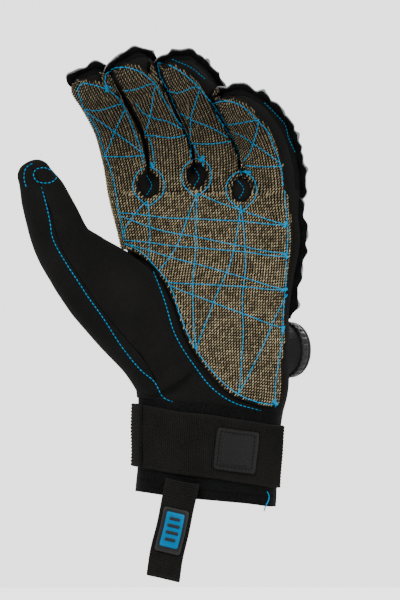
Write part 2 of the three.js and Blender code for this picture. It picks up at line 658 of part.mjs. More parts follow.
addPiece('palm_knit', geometryOf(palmKnit), MATERIALS.knit);
addPiece('palm_base', geometryOf(palmBase), MATERIALS.suede);
addPiece('thumb_back', geometryOf(thumbBack), MATERIALS.suede);
addPiece('back_panel', geometryOf(backPanel), MATERIALS.neoprene);
fingerNames.forEach((name, i) => {
  addPiece(`${name}_side`, geometryOf(sidePanels[i]), MATERIALS.stretch);
  addPiece(`${name}_seam_edge`, geometryOf(fingerFins[i]), MATERIALS.neoprene);
});
addPiece('side_seam_edge', geometryOf(edgeFin), MATERIALS.neoprene);
addPiece('cuff', geometryOf(cuff), MATERIALS.neoprene);
addPiece('wrist_strap', geometryOf(strap), MATERIALS.webbing);
addPiece('strap_end', geometryOf(strapEnd), MATERIALS.webbing);
addPiece('patch', geometryOf(patch), MATERIALS.leather);
addPiece('dial_housing', geometryOf(housingSolid()), MATERIALS.plastic);

const dial = new THREE.Group();
dial.position.copy(dialSeat);
dial.quaternion.copy(dialTurn);
glove.add(dial);
addPiece('dial_hub', turned(discProfile(HUB, HUB.bore), HUB.sides), MATERIALS.plastic, dial);
addPiece('dial_spindle', spindleGeometry(), MATERIALS.steel, dial);
addPiece('dial_knob', geometryOf(knobSolid()), MATERIALS.rubber, dial);

const tabDepth = -(CUFF_ROWS[0].thick / 2) - TAB.sheet - TAB.slot / 2 - GAP;
const tab = new THREE.Group();
tab.position.set(TAB.topX, tabDepth + CUFF_ROWS[0].y, TAB.topZ);
tab.rotation.y = radians(-TAB.lean);
glove.add(tab);
addPiece('pull_tab', tabGeometry(), MATERIALS.webbing, tab);
const tabFace = -TAB.sheet - TAB.slot / 2 - GAP;
addPiece('label_plate', plateGeometry(PLATE, 1.2), MATERIALS.rubber, tab)
  .position.set(0, tabFace, -PLATE.down - 2);
addPiece('label_inset', plateGeometry(INSET, 0.8), MATERIALS.blueRubber, tab)
  .position.set(0, tabFace - PLATE.thick - GAP, -INSET.down - 2);

export default glove;
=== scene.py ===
"""Looks for a left-hand water ski glove, shown worn, with its palm to the camera.

Shapes are worked out in millimetres, +Z up the hand and the palm towards -Y, and turned into
metres when each piece is made.
"""
import json
import logging
import math
from dataclasses import dataclass, field
from enum import Enum

import bpy
import numpy as np
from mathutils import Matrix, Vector
from mathutils.bvhtree import BVHTree
from mathutils.geometry import tessellate_polygon

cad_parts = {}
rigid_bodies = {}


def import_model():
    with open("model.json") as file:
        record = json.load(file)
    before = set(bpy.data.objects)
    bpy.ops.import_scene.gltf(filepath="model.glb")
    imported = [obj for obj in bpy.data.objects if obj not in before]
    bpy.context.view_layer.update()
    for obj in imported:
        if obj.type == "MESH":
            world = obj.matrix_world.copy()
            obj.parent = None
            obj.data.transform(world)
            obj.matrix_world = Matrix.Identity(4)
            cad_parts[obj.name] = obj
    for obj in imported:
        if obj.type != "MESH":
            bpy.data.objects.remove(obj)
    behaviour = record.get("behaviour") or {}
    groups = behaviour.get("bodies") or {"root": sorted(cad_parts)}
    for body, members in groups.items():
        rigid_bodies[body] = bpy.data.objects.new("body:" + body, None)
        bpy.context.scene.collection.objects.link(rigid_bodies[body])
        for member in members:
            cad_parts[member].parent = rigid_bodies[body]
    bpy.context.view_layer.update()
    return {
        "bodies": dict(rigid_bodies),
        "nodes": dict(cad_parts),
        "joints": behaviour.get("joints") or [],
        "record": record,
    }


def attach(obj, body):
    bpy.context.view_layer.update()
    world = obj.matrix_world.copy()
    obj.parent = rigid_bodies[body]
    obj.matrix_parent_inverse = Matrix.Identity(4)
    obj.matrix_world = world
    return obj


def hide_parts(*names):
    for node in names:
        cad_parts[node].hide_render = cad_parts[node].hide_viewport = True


LOG = logging.getLogger("ski_glove")
MM = 0.001
GLOVE_BODY = "glove"
CAP_BODY = "dial_cap"
WRIST_LINE = 44.2
WRIST_TILT = 6.0
PALMWARD = np.array([0.0, -1.0, 0.0])
Colour = tuple[float, float, float, float]
Line = tuple[tuple[float, float], ...]


@dataclass
class Shape:
    """A triangle mesh in millimetres."""

    points: np.ndarray
    faces: np.ndarray

    def normals(self) -> np.ndarray:
        """Unit normals at the points.

        Returns:
            A direction for each point.
        """
        corners = self.points[self.faces]
        flat = np.cross(corners[:, 1] - corners[:, 0], corners[:, 2] - corners[:, 0])
        sums = np.zeros_like(self.points)
        for k in range(3):
            np.add.at(sums, self.faces[:, k], flat)
        return sums / np.maximum(np.linalg.norm(sums, axis=1, keepdims=True), 1e-9)

    def volume(self) -> float:
        """Signed volume, below zero where the faces point in."""
        a, b, c = (self.points[self.faces[:, k]] for k in range(3))
        return float(np.einsum("ij,ij->i", a, np.cross(b, c)).sum() / 6)

    def outward(self) -> "Shape":
        """The same shape with its faces pointing out."""
        return self if self.volume() >= 0 else Shape(self.points, self.faces[:, ::-1])

    def tree(self) -> BVHTree:
        """A search tree over the faces."""
        return BVHTree.FromPolygons(self.points.tolist(), self.faces.tolist())

    def mesh(self, name: str, scale: float) -> bpy.types.Mesh:
        """Makes a Blender mesh.

        Args:
            name: the mesh's name.
            scale: what the millimetres are multiplied by.

        Returns:
            The mesh.
        """
        mesh = bpy.data.meshes.new(name)
        count = len(self.faces)
        mesh.vertices.add(len(self.points))
        mesh.vertices.foreach_set("co", (self.points * scale).astype(np.float32).ravel())
        mesh.loops.add(count * 3)
        mesh.loops.foreach_set("vertex_index", self.faces.astype(np.int32).ravel())
        mesh.polygons.add(count)
        mesh.polygons.foreach_set("loop_start", np.arange(0, count * 3, 3, dtype=np.int32))
        mesh.update(calc_edges=True)
        mesh.validate()
        return mesh

    @staticmethod
    def gathered(shapes: list["Shape"]) -> "Shape":
        """One shape that holds several, not joined.

        Args:
            shapes: the shapes.

        Returns:
            One shape with all their points and faces.
        """
        starts = np.cumsum([0] + [len(s.points) for s in shapes[:-1]])
        return Shape(
            np.concatenate([s.points for s in shapes]),
            np.concatenate([s.faces + start for s, start in zip(shapes, starts)]),
        )


def grid_faces(rows: int, columns: int) -> np.ndarray:
    """Triangles over a grid of points whose rows close on themselves.

    Args:
        rows: how many rows of points.
        columns: how many points in each row.

    Returns:
        Triangles of point numbers.
    """
    r, c = np.meshgrid(np.arange(rows - 1), np.arange(columns), indexing="ij")
    a, b = (r * columns + c).ravel(), (r * columns + (c + 1) % columns).ravel()
    return np.concatenate([
        np.stack([a, b, b + columns], axis=1), np.stack([a, b + columns, a + columns], axis=1),
    ])


def tube_faces(rows: int, sides: int) -> np.ndarray:
    """Triangles round rings of points, with a fan to a tip at each end, the tips numbered last.

    Args:
        rows: how many rings.
        sides: how many points in each.

    Returns:
        Triangles of point numbers.
    """
    k = np.arange(sides)
    n = (k + 1) % sides
    tip, top = rows * sides, (rows - 1) * sides
    return np.concatenate([
        grid_faces(rows, sides), np.stack([np.full(sides, tip), n, k], axis=1),
        np.stack([np.full(sides, tip + 1), top + k, top + n], axis=1),
    ])


def loft(rings: np.ndarray) -> Shape:
    """A closed shape through rings of points, with a fan over each end."""
    points = np.concatenate([rings.reshape(-1, 3), [rings[0].mean(0), rings[-1].mean(0)]])
    return Shape(points, tube_faces(*rings.shape[:2])).outward()


def copies(points: np.ndarray, faces: np.ndarray) -> Shape:
    """Many small shapes with the same faces, gathered in one.

    Args:
        points: the points of each, by shape and point.
        faces: the faces of one.

    Returns:
        All of them.
    """
    if Shape(points[0], faces).volume() < 0:
        faces = faces[:, ::-1]
    whole = (faces[None] + points.shape[1] * np.arange(len(points))[:, None, None]).reshape(-1, 3)
    return Shape(points.reshape(-1, 3), whole)


def run_along(line: np.ndarray) -> np.ndarray:
    """The distance along a line at each of its points."""
    return np.concatenate([[0], np.cumsum(np.linalg.norm(np.diff(line, axis=0), axis=1))])


def sampled(at: np.ndarray, run: np.ndarray, rows: np.ndarray) -> np.ndarray:
    """Rows of numbers between those that belong to known distances."""
    return np.stack([np.interp(at, run, column) for column in rows.T], axis=1)


def squared(values: np.ndarray, power: float) -> np.ndarray:
    """Sines or cosines bent so that their circle becomes squarish."""
    return np.sign(values) * np.abs(values) ** (2 / power)


def parted(shape: Shape) -> Shape:
    """Drops faces that lie back to back and splits points where four faces share an edge.

    Args:
        shape: the shape.

    Returns:
        A sound solid, with a copy of such a point for each fan of faces round it.
    """
    _, same, times = np.unique(np.sort(shape.faces, axis=1), axis=0, return_inverse=True, return_counts=True)
    faces, points = shape.faces[times[same.ravel()] == 1], shape.points
    edges = np.concatenate([faces[:, [0, 1]], faces[:, [1, 2]], faces[:, [2, 0]]]).astype(np.int64)
    keys = edges[:, 0] * len(points) + edges[:, 1]
    found, counts = np.unique(keys, return_counts=True)
    bad = found[counts > 1]
    shared = {frozenset((int(key // len(points)), int(key % len(points)))) for key in bad}
    added: list[np.ndarray] = []
    for point in sorted({spot for edge in shared for spot in edge}):
        left = set(np.nonzero((faces == point).any(axis=1))[0].tolist())
        fans: list[set[int]] = []
        while left:
            fan, open_ends = set(), [left.pop()]
            while open_ends:
                face = open_ends.pop()
                fan.add(face)
                others = {int(v) for v in faces[face]} - {point}
                near = [f for f in left if any(
                    v in others and frozenset((v, point)) not in shared for v in map(int, faces[f]))]
                left -= set(near)
                open_ends += near
            fans.append(fan)
        for fan in fans[1:]:
            added.append(points[point])
            for face in fan:
                faces[face][faces[face] == point] = len(points) + len(added) - 1
    return Shape(np.concatenate([points, added]) if added else points, faces)


def linked(name: str, data: bpy.types.ID) -> bpy.types.Object:
    """Puts data into the scene as an object.

    Args:
        name: the object's name.
        data: its mesh, light or camera.

    Returns:
        The object.
    """
    obj = bpy.data.objects.new(name, data)
    bpy.context.scene.collection.objects.link(obj)
    return obj


class Operation(Enum):
    """How one solid acts on another."""

    JOIN = "UNION"
    CUT = "DIFFERENCE"
    KEEP = "INTERSECT"


class Bench:
    """Joins, cuts, remeshes and smooths solids."""

    def work(self, base: Shape, steps: list[tuple[Operation, Shape]], voxel: float = 0.0,
             smooth: int = 0) -> Shape:
        """Carries out solid operations, then a remesh and smoothing if asked.

        Args:
            base: the solid that is worked on.
            steps: operations and the other solids.
            voxel: remesh size in mm, or 0 for none.
            smooth: smoothing passes.

        Returns:
            The new solid.
        """
        held = [linked("bench", shape.mesh("bench", 1.0)) for shape in (base, *(other for _, other in steps))]
        for (operation, _), tool in zip(steps, held[1:]):
            step = held[0].modifiers.new("step", "BOOLEAN")
            step.operation = operation.value
            step.solver = "MANIFOLD"
            step.object = tool
        if voxel:
            remesh = held[0].modifiers.new("remesh", "REMESH")
            remesh.mode = "VOXEL"
            remesh.voxel_size = voxel
        if smooth:
            soften = held[0].modifiers.new("smooth", "SMOOTH")
            soften.factor = 0.5
            soften.iterations = smooth
        found = held[0].evaluated_get(bpy.context.evaluated_depsgraph_get())
        mesh = found.to_mesh()
        mesh.calc_loop_triangles()
        points = np.empty(len(mesh.vertices) * 3, np.float32)
        mesh.vertices.foreach_get("co", points)
        faces = np.empty(len(mesh.loop_triangles) * 3, np.int32)
        mesh.loop_triangles.foreach_get("vertices", faces)
        found.to_mesh_clear()
        for obj in held:
            data = obj.data
            bpy.data.objects.remove(obj)
            bpy.data.meshes.remove(data)
        return parted(Shape(points.reshape(-1, 3).astype(float), faces.reshape(-1, 3)))


def smooth_path(rows: np.ndarray, places: np.ndarray) -> np.ndarray:
    """Points of a smooth curve through rows of numbers.

    Args:
        rows: the rows that the curve passes through.
        places: shares of the way along it, from 0 to 1.

    Returns:
        A row of numbers for each place.
    """
    rows = np.asarray(rows, float)
    last = len(rows) - 1
    padded = np.vstack([2 * rows[0] - rows[1], rows, 2 * rows[-1] - rows[-2]])
    steps = np.maximum(np.linalg.norm(np.diff(padded, axis=0), axis=1), 1e-8) ** 0.5
    spot = np.clip(np.asarray(places, float), 0, 1) * last
    i = np.minimum(spot.astype(int), last - 1)
    w = (spot - i)[:, None]
    x0, x1, x2, x3 = (padded[i + k] for k in range(4))
    d0, d1, d2 = (steps[i + k][:, None] for k in range(3))
    t1 = ((x1 - x0) / d0 - (x2 - x0) / (d0 + d1) + (x2 - x1) / d1) * d1
    t2 = ((x2 - x1) / d1 - (x3 - x1) / (d1 + d2) + (x3 - x2) / d2) * d1
    return x1 + t1 * w + (3 * (x2 - x1) - 2 * t1 - t2) * w**2 + (2 * (x1 - x2) + t1 + t2) * w**3


def unit(vectors: np.ndarray) -> np.ndarray:
    """The vectors at length one."""
    return vectors / np.maximum(np.linalg.norm(vectors, axis=-1, keepdims=True), 1e-9)


@dataclass
class Sections:
    """Cross-sections along a rounded part: centres, directions and half sizes."""

    share: np.ndarray
    centre: np.ndarray
    along: np.ndarray
    across: np.ndarray
    front: np.ndarray
    half_wide: np.ndarray
    half_thick: np.ndarray

    def place(self, across: np.ndarray, front: np.ndarray, along: np.ndarray) -> np.ndarray:
        """Points from distances in each section's own directions.

        Args:
            across: distances across, a row for each section.
            front: distances to the front.
            along: distances along.

        Returns:
            The points.
        """
        return (
            self.centre[:, None] + self.across[:, None] * across[..., None]
            + self.front[:, None] * front[..., None] + self.along[:, None] * along[..., None]
        )


@dataclass
class Limb:
    """A finger, the thumb or the palm: a rounded form through sized rows.

    Each row is x, y, z, width, thickness and tilt.
    """

    rows: tuple[tuple[float, ...], ...]
    yaw: float = 0.0
    power: float = 2.7
    dome: float = 6.5
    stacked: bool = False
    sides: int = 56
    count: int = 61

    def sections(self, share: np.ndarray | None = None) -> Sections:
        """The limb's sections at shares of the way along, or evenly along its rows.

        Args:
            share: the shares, or nothing for even steps.

        Returns:
            The sections.
        """
        share = np.linspace(0, 1, self.count) if share is None else share
        rows = np.array(self.rows, float)
        if self.stacked:
            found = smooth_path(rows, share)
            centre, sizes = found[:, :3], found[:, 3:5]
            tilt = np.radians(found[:, 5])
            along = np.stack([np.sin(tilt), 0 * tilt, np.cos(tilt)], axis=1)
            across = np.stack([np.cos(tilt), 0 * tilt, -np.sin(tilt)], axis=1)
            front = np.tile(PALMWARD, (len(share), 1))
        else:
            centre, sizes = smooth_path(rows[:, :3], share), smooth_path(rows[:, 3:5], share)
            ahead = smooth_path(rows[:, :3], share + 1e-3) - smooth_path(rows[:, :3], share - 1e-3)
            along = unit(ahead)
            yaw = math.radians(self.yaw)
            palmward = np.array([-math.sin(yaw), -math.cos(yaw), 0.0])
            across = unit(np.cross(along, palmward))
            front = np.cross(across, along)
        return Sections(share, centre, along, across, front, sizes[:, 0] / 2, sizes[:, 1] / 2)

    def rings(self, grow: float, dome_steps: int = 9) -> tuple[Sections, np.ndarray, np.ndarray, np.ndarray]:
        """Half sizes of every ring, those of the round end included.

        Args:
            grow: how far out from the limb, in mm.
            dome_steps: rings over the round end.

        Returns:
            The sections of the rings, their half widths, half thicknesses and distances along.
        """
        base = self.sections()
        angles = np.radians(np.linspace(0, 84, dome_steps + 1)[1:]) if self.dome else np.zeros(0)
        pick = np.concatenate([np.arange(self.count), np.full(len(angles), self.count - 1)])
        shrink = np.concatenate([np.ones(self.count), np.cos(angles) ** 0.8])
        past = np.concatenate([np.zeros(self.count), (self.dome + grow) * np.sin(angles)])
        held = Sections(*(getattr(base, name)[pick] for name in base.__dataclass_fields__))
        held.share = held.share + past * 1e-3
        return held, (held.half_wide + grow) * shrink, (held.half_thick + grow) * shrink, past

    def solid(self, grow: float = 0.0) -> Shape:
        """The limb as a closed solid, larger all round by a distance.

        Args:
            grow: the distance in mm.

        Returns:
            The solid.
        """
        held, wide, thick, past = self.rings(grow)
        angle = 2 * math.pi * (np.arange(self.sides) + 0.5) / self.sides
        across, front = squared(np.cos(angle), self.power), squared(np.sin(angle), self.power)
        along = past[:, None] * np.ones(self.sides)
        return loft(held.place(wide[:, None] * across, thick[:, None] * front, along))

    def slab(
        self,
        back: float,
        front: float,
        grow: float = 0.0,
        side: float = 6.0,
        start: float = 0.0,
        left: tuple[float, float] | None = None,
    ) -> Shape:
        """A box-like solid along the limb between two shares of its half thickness.

        Args:
            back: the share at the back, where -1 or less reaches past the surface.
            front: the share at the front, where 1 or more reaches past the surface.
            grow: how much larger it is all round, in mm.
            side: how far past the sides it reaches.
            start: the share of the way along at which it starts.
            left: shares of the half width at its left side, at its start and end.

        Returns:
            The solid.
        """
        held = self.sections(np.linspace(start + 0.0037, 0.9963, 38))
        low = -held.half_wide - side
        if left:
            low = (left[0] + (left[1] - left[0]) * held.share) * held.half_wide - grow
        high = held.half_wide + side
        near = -held.half_thick - side if back <= -1 else back * held.half_thick - grow
        far = held.half_thick + side if front >= 1 else front * held.half_thick + grow
        across = np.stack([low, high, high, low], axis=1)
        depth = np.stack([near, near, far, far], axis=1)
        flat = np.zeros_like(across)
        rings = held.place(across, depth, flat)
        first = held.place(across, depth, flat - 1.0)[:1]
        last = held.place(across, depth, flat + 16.0)[-1:]
        return loft(np.concatenate([first, rings, last]))


def prism(outline: list[tuple[float, float]] | np.ndarray, near: float, far: float) -> Shape:
    """A solid on an outline of x and z, between two depths along Y.

    Args:
        outline: x and z of its corners.
        near: the depth at which it starts.
        far: the depth at which it ends.

    Returns:
        The solid.
    """
    outline = np.asarray(outline, float)
    count = len(outline)
    flat = [Vector((x, z, 0)) for x, z in outline]
    caps = np.array(tessellate_polygon([flat]), int).reshape(-1, 3)
    points = np.concatenate([
        np.stack([outline[:, 0], np.full(count, depth), outline[:, 1]], axis=1) for depth in (near, far)
    ])
    k = np.arange(count)
    n = (k + 1) % count
    a, b, c = outline[caps[:, 0]], outline[caps[:, 1]], outline[caps[:, 2]]
    turn = np.cross(b - a, c - a)
    caps[turn < 0] = caps[turn < 0][:, ::-1]
    signed = np.sum(outline[:, 0] * np.roll(outline[:, 1], -1) - np.roll(outline[:, 0], -1) * outline[:, 1])
    sides = np.concatenate([np.stack([k, n, n + count], axis=1), np.stack([k, n + count, k + count], axis=1)])
    if signed > 0:
        sides = sides[:, ::-1]
    return Shape(points, np.concatenate([caps, caps[:, ::-1] + count, sides])).outward()


def slanted_band(low: float, high: float, tilt: float, reach: float = 110.0) -> Shape:
    """A thick plate across the wrist between two heights at x = 0, slanting down to the right.

    Args:
        low: the lower height.
        high: the upper height.
        tilt: its slant in degrees.
        reach: how far it reaches each way.

    Returns:
        The plate.
    """
    drop = math.tan(math.radians(tilt)) * reach
    return prism([(-reach, low + drop), (reach, low - drop), (reach, high - drop), (-reach, high + drop)],
                 -reach, reach)


def spread(line: Line | np.ndarray, pitch: float) -> np.ndarray:
    """Points at an even pitch on a smooth line through some points.

    Args:
        line: the points that the line passes through.
        pitch: the distance between points.

    Returns:
        The points.
    """
    line = np.asarray(line, float)
    fine = smooth_path(line, np.linspace(0, 1, 40 * len(line)))
    run = run_along(fine)
    return sampled(np.linspace(0, run[-1], max(int(round(run[-1] / pitch)), 1) + 1), run, fine)


def distance_to_line(points: np.ndarray, line: np.ndarray) -> np.ndarray:
    """How far points in a plane are from a line of straight runs.

    Args:
        points: the points.
        line: the line's corners.

    Returns:
        A distance for each point.
    """
    best = np.full(len(points), np.inf)
    for a, b in zip(line[:-1], line[1:]):
        run = b - a
        t = np.clip(((points - a) @ run) / max(run @ run, 1e-9), 0, 1)
        best = np.minimum(best, np.linalg.norm(points - a - t[:, None] * run, axis=1))
    return best


def inside(points: np.ndarray, outline: np.ndarray) -> np.ndarray:
    """Which points of a plane lie in a closed outline.

    Args:
        points: the points.
        outline: the outline's corners.

    Returns:
        Whether each point is inside.
    """
    found = np.zeros(len(points), bool)
    for a, b in zip(outline, np.roll(outline, -1, axis=0)):
        crosses = (a[1] > points[:, 1]) != (b[1] > points[:, 1])
        edge = (b[0] - a[0]) * (points[:, 1] - a[1]) / np.where(b[1] == a[1], 1e-9, b[1] - a[1]) + a[0]
        found ^= crosses & (points[:, 0] < edge)
    return found


def eased(points: np.ndarray) -> np.ndarray:
    """The points moved a little, as soft cloth is never quite even.

    Args:
        points: the points.

    Returns:
        The moved points.
    """
    x, y, z = points.T
    shift = np.stack([
        0.30 * np.sin(z / 9.0 + 1.3) + 0.18 * np.sin(z / 4.3 + x / 13.0),
        0.30 * np.sin(x / 8.0 + z / 11.0) + 0.20 * np.sin(z / 5.1 - x / 9.0 + 0.7),
        0.22 * np.sin(x / 7.0 + 0.4) + 0.12 * np.sin(y / 5.0 + x / 4.0),
    ], axis=1)
    return points + shift


class Value:
    """A shader socket that can be used in sums."""

    def __init__(self, shader: "Shader", socket: bpy.types.NodeSocket) -> None:
        """Wraps a socket of a shader."""
        self.shader = shader
        self.socket = socket

    def _math(self, operation: str, first: object, second: object) -> "Value":
        """One Math node on two values."""
        return self.shader.node("ShaderNodeMath", {"operation": operation}, {0: first, 1: second})

    def __add__(self, other: object) -> "Value":
        """Adds."""
        return self._math("ADD", self, other)

    __radd__ = __add__

    def __sub__(self, other: object) -> "Value":
        """Takes away."""
        return self._math("SUBTRACT", self, other)

    def __rsub__(self, other: object) -> "Value":
        """Takes this from a number."""
        return self._math("SUBTRACT", other, self)

    def __mul__(self, other: object) -> "Value":
        """Multiplies."""
        return self._math("MULTIPLY", self, other)

    __rmul__ = __mul__

    def sine(self) -> "Value":
        """The sine."""
        return self._math("SINE", self, 0.0)

    def clamped(self) -> "Value":
        """Kept from 0 to 1."""
        return self.shader.node("ShaderNodeClamp", {}, {"Value": self})


class Shader:
    """A material's nodes, with one Principled shader."""

    def __init__(self, name: str, constants: dict[str, object]) -> None:
        """Makes the material.

        Args:
            name: the material's name.
            constants: values that are the same all over, by socket name.
        """
        self.material = bpy.data.materials.new(name)
        self.material.use_nodes = True
        self.tree = self.material.node_tree
        self.principled = self.tree.nodes["Principled BSDF"]
        for socket, value in constants.items():
            self.principled.inputs[socket].default_value = value

    def link(self, socket: bpy.types.NodeSocket, value: object) -> None:
        """Feeds a socket with a number, a colour or another node's output.

        Args:
            socket: the socket.
            value: what feeds it.
        """
        if isinstance(value, Value):
            self.tree.links.new(value.socket, socket)
        else:
            socket.default_value = value

    def node(self, kind: str, settings: dict[str, object], values: dict[object, object],
             out: object = 0) -> Value:
        """Adds a node.

        Args:
            kind: the node's type.
            settings: its own settings, which are set first.
            values: numbers, colours or links for its sockets, by name or number.
            out: the name or number of the output that is wanted.

        Returns:
            That output.
        """
        node = self.tree.nodes.new(kind)
        for name, setting in settings.items():
            setattr(node, name, setting)
        for name, value in values.items():
            self.link(node.inputs[name], value)
        return Value(self, node.outputs[out])

    def place(self) -> Value:
        """Places on the object in metres."""
        return self.node("ShaderNodeTexCoord", {}, {}, "Object")

    def height(self) -> Value:
        """The height on the object in metres."""
        return self.node("ShaderNodeSeparateXYZ", {}, {0: self.place()}, 2)

    def noise(self, scale: float, detail: float = 4.0) -> Value:
        """Noise from 0 to 1, its grain about 1/scale metres.

        Args:
            scale: its scale.
            detail: how fine its detail is.

        Returns:
            The noise.
        """
        return self.node("ShaderNodeTexNoise", {}, {
            "Vector": self.place(), "Scale": scale, "Detail": detail, "Roughness": 0.6,
        })

    def cells(self, scale: float) -> Value:
        """Distances in a pattern of cells about 1/scale metres wide."""
        return self.node("ShaderNodeTexVoronoi", {}, {"Vector": self.place(), "Scale": scale})

    def rows(self, period: float) -> Value:
        """Level ridges from 0 to 1, a period apart in metres."""
        return (self.height() * (2 * math.pi / period)).sine() * 0.5 + 0.5

    def mixed(self, factor: object, first: object, second: object) -> Value:
        """A colour between two colours."""
        return self.node("ShaderNodeMix", {"data_type": "RGBA"}, {0: factor, 6: first, 7: second}, 2)

    def between(self, value: Value, low: float, high: float, first: float = 0.0,
                second: float = 1.0) -> Value:
        """A value spread from one range over another, and kept in it.

        Args:
            value: the value.
            low: where its range starts.
            high: where its range ends.
            first: what the start becomes.
            second: what the end becomes.

        Returns:
            The new value.
        """
        return self.node("ShaderNodeMapRange", {"clamp": True}, {
            "Value": value, "From Min": low, "From Max": high, "To Min": first, "To Max": second,
        })

    def shape(self, height: Value, distance: float, strength: float = 1.0) -> None:
        """Sets the bump from a height, in metres for each unit."""
        self.feed("Normal", self.node("ShaderNodeBump", {}, {
            "Height": height, "Distance": distance, "Strength": strength}, "Normal"))

    def feed(self, socket: str, value: Value) -> None:
        """Links a value to the Principled shader."""
        self.link(self.principled.inputs[socket], value)


def grey(level: float, warm: float = 0.0) -> Colour:
    """A grey, a little warm or cool."""
    return (level * (1 + warm), level, level * (1 - warm), 1.0)


@dataclass(frozen=True)
class Knit:
    """Tan loops of a hard-wearing knit, painted darker on the fingers as shade."""

    dark: Colour = (0.027, 0.021, 0.012, 1.0)
    light: Colour = (0.212, 0.172, 0.098, 1.0)
    # shade and tip: the loop colours on the fingers, painted shade where the fingers turn away from the
    # light.
    shade: Colour = (0.022, 0.018, 0.010, 1.0)
    tip: Colour = (0.086, 0.072, 0.045, 1.0)

    def material(self) -> bpy.types.Material:
        """The loops' material, each loop a little different.

        Returns:
            The material.
        """
        s = Shader("knit_loops", {"Roughness": 0.85, "Specular IOR Level": 0.1})
        loop = s.node("ShaderNodeNewGeometry", {}, {}, "Random Per Island")
        patch = s.noise(60.0, 2.0)
        tone = (loop * 0.75 + s.between(patch, 0.3, 0.7) * 0.35).clamped()
        palm, tips = s.mixed(tone, self.dark, self.light), s.mixed(tone, self.shade, self.tip)
        # Above about 142 to 182 mm the loops blend to the shade and tip colours: painted shade on the
        # fingers.
        s.feed("Base Color", s.mixed(s.between(s.height(), 0.142, 0.182), palm, tips))
        s.shape(s.noise(2600.0, 2.0), 0.0002, 0.5)
        return s.material


@dataclass(frozen=True)
class Yarn:
    """Rough yarn of two tones: its grain in 1/m, shine, and the depth and strength of its bump."""

    name: str
    low: Colour
    high: Colour
    grain: float
    shine: float
    bump: tuple[float, float, float]
    start: float = 0.35

    def material(self) -> bpy.types.Material:
        """The yarn's material.

        Returns:
            The material.
        """
        s = Shader(self.name, {"Roughness": 0.95, "Specular IOR Level": self.shine})
        s.feed("Base Color", s.mixed(s.between(s.noise(self.grain), self.start, 0.75), self.low, self.high))
        s.shape(s.noise(self.bump[0]), *self.bump[1:])
        return s.material


@dataclass(frozen=True)
class Cloth:
    """A dark cloth, leather or neoprene with a fine grain and a soft nap.

    The level is its grey, warm its warmth, grain its grain in 1/m, depth the bump in metres, and ribs
    the share of its tone that follows the shape's own ribs: painted shade in the hollows, painted highlight
    on the crests.
    """

    name: str
    level: float = 0.010
    spread: float = 0.010
    warm: float = 0.02
    grain: float = 2200.0
    depth: float = 0.0002
    rough: float = 0.9
    sheen: float = 0.01
    shine: float = 0.04
    weave: float = 0.0
    cells: float = 0.0
    ribs: float = 0.0

    def material(self) -> bpy.types.Material:
        """The cloth's material.

        Returns:
            The material.
        """
        s = Shader(self.name, {
            "Sheen Weight": self.sheen, "Sheen Roughness": 0.45, "Specular IOR Level": self.shine,
        })
        fine, broad = s.noise(self.grain), s.noise(38.0, 5.0)
        tone = s.between(fine, 0.36, 0.66) * 0.65 + s.between(broad, 0.35, 0.7) * 0.35
        height = fine
        if self.weave:
            rows = s.rows(self.weave)
            tone = tone * 0.6 + rows * 0.4
            height = fine * 0.5 + rows
        if self.cells:
            height = height * 0.4 + s.cells(self.cells)
        if self.ribs:
            # Colour from pointiness: painted shade in the hollows between ribs, painted highlight on their
            # crests.
            edge = s.node("ShaderNodeNewGeometry", {}, {}, "Pointiness")
            tone = tone * (1 - self.ribs) + s.between(edge, 0.42, 0.58) * self.ribs
        s.feed("Base Color", s.mixed(tone.clamped(), grey(self.level, self.warm),
                                     grey(self.level + self.spread, self.warm)))
        s.feed("Roughness", s.between(broad, 0.3, 0.7, self.rough - 0.08, self.rough + 0.05))
        s.shape(height, self.depth, 0.7)
        return s.material


@dataclass(frozen=True)
class Thread:
    """Sewing thread with a twist, painted darker on the fingers as shade."""

    name: str
    colour: Colour
    deep: Colour

    def material(self) -> bpy.types.Material:
        """The thread's material.

        Returns:
            The material.
        """
        s = Shader(self.name, {"Roughness": 0.6, "Specular IOR Level": 0.02})
        turn = s.node("ShaderNodeNewGeometry", {}, {}, "Random Per Island")
        # The thread is painted darker above about 145 to 190 mm: painted shade on the fingers.
        tone = turn * 0.6 + s.noise(1500.0) * 0.5 - s.between(s.height(), 0.145, 0.190) * 0.6
        s.feed("Base Color", s.mixed(tone.clamped(), self.deep, self.colour))
        s.shape(s.noise(4000.0, 2.0), 0.0001, 0.4)
        return s.material


@dataclass(frozen=True)
class Moulded:
    """A hard or rubbery moulding with a faint grain and worn edges."""

    name: str
    base: Colour
    worn: Colour
    rough: float = 0.5
    shine: float = 0.15
    metal: float = 0.0
    grain: float = 1600.0
    depth: float = 0.00006

    def material(self) -> bpy.types.Material:
        """The moulding's material.

        Returns:
            The material.
        """
        s = Shader(self.name, {"Metallic": self.metal, "Specular IOR Level": self.shine})
        edge = s.node("ShaderNodeNewGeometry", {}, {}, "Pointiness")
        marks = s.between(s.noise(120.0, 6.0), 0.45, 0.75)
        wear = (s.between(edge, 0.5, 0.56) * 0.6 + marks * 0.4).clamped()
        s.feed("Base Color", s.mixed(wear, self.base, self.worn))
        s.feed("Roughness", s.between(marks, 0.0, 1.0, self.rough - 0.06, self.rough + 0.1))
        s.shape(s.noise(self.grain, 3.0), self.depth, 0.6)
        return s.material


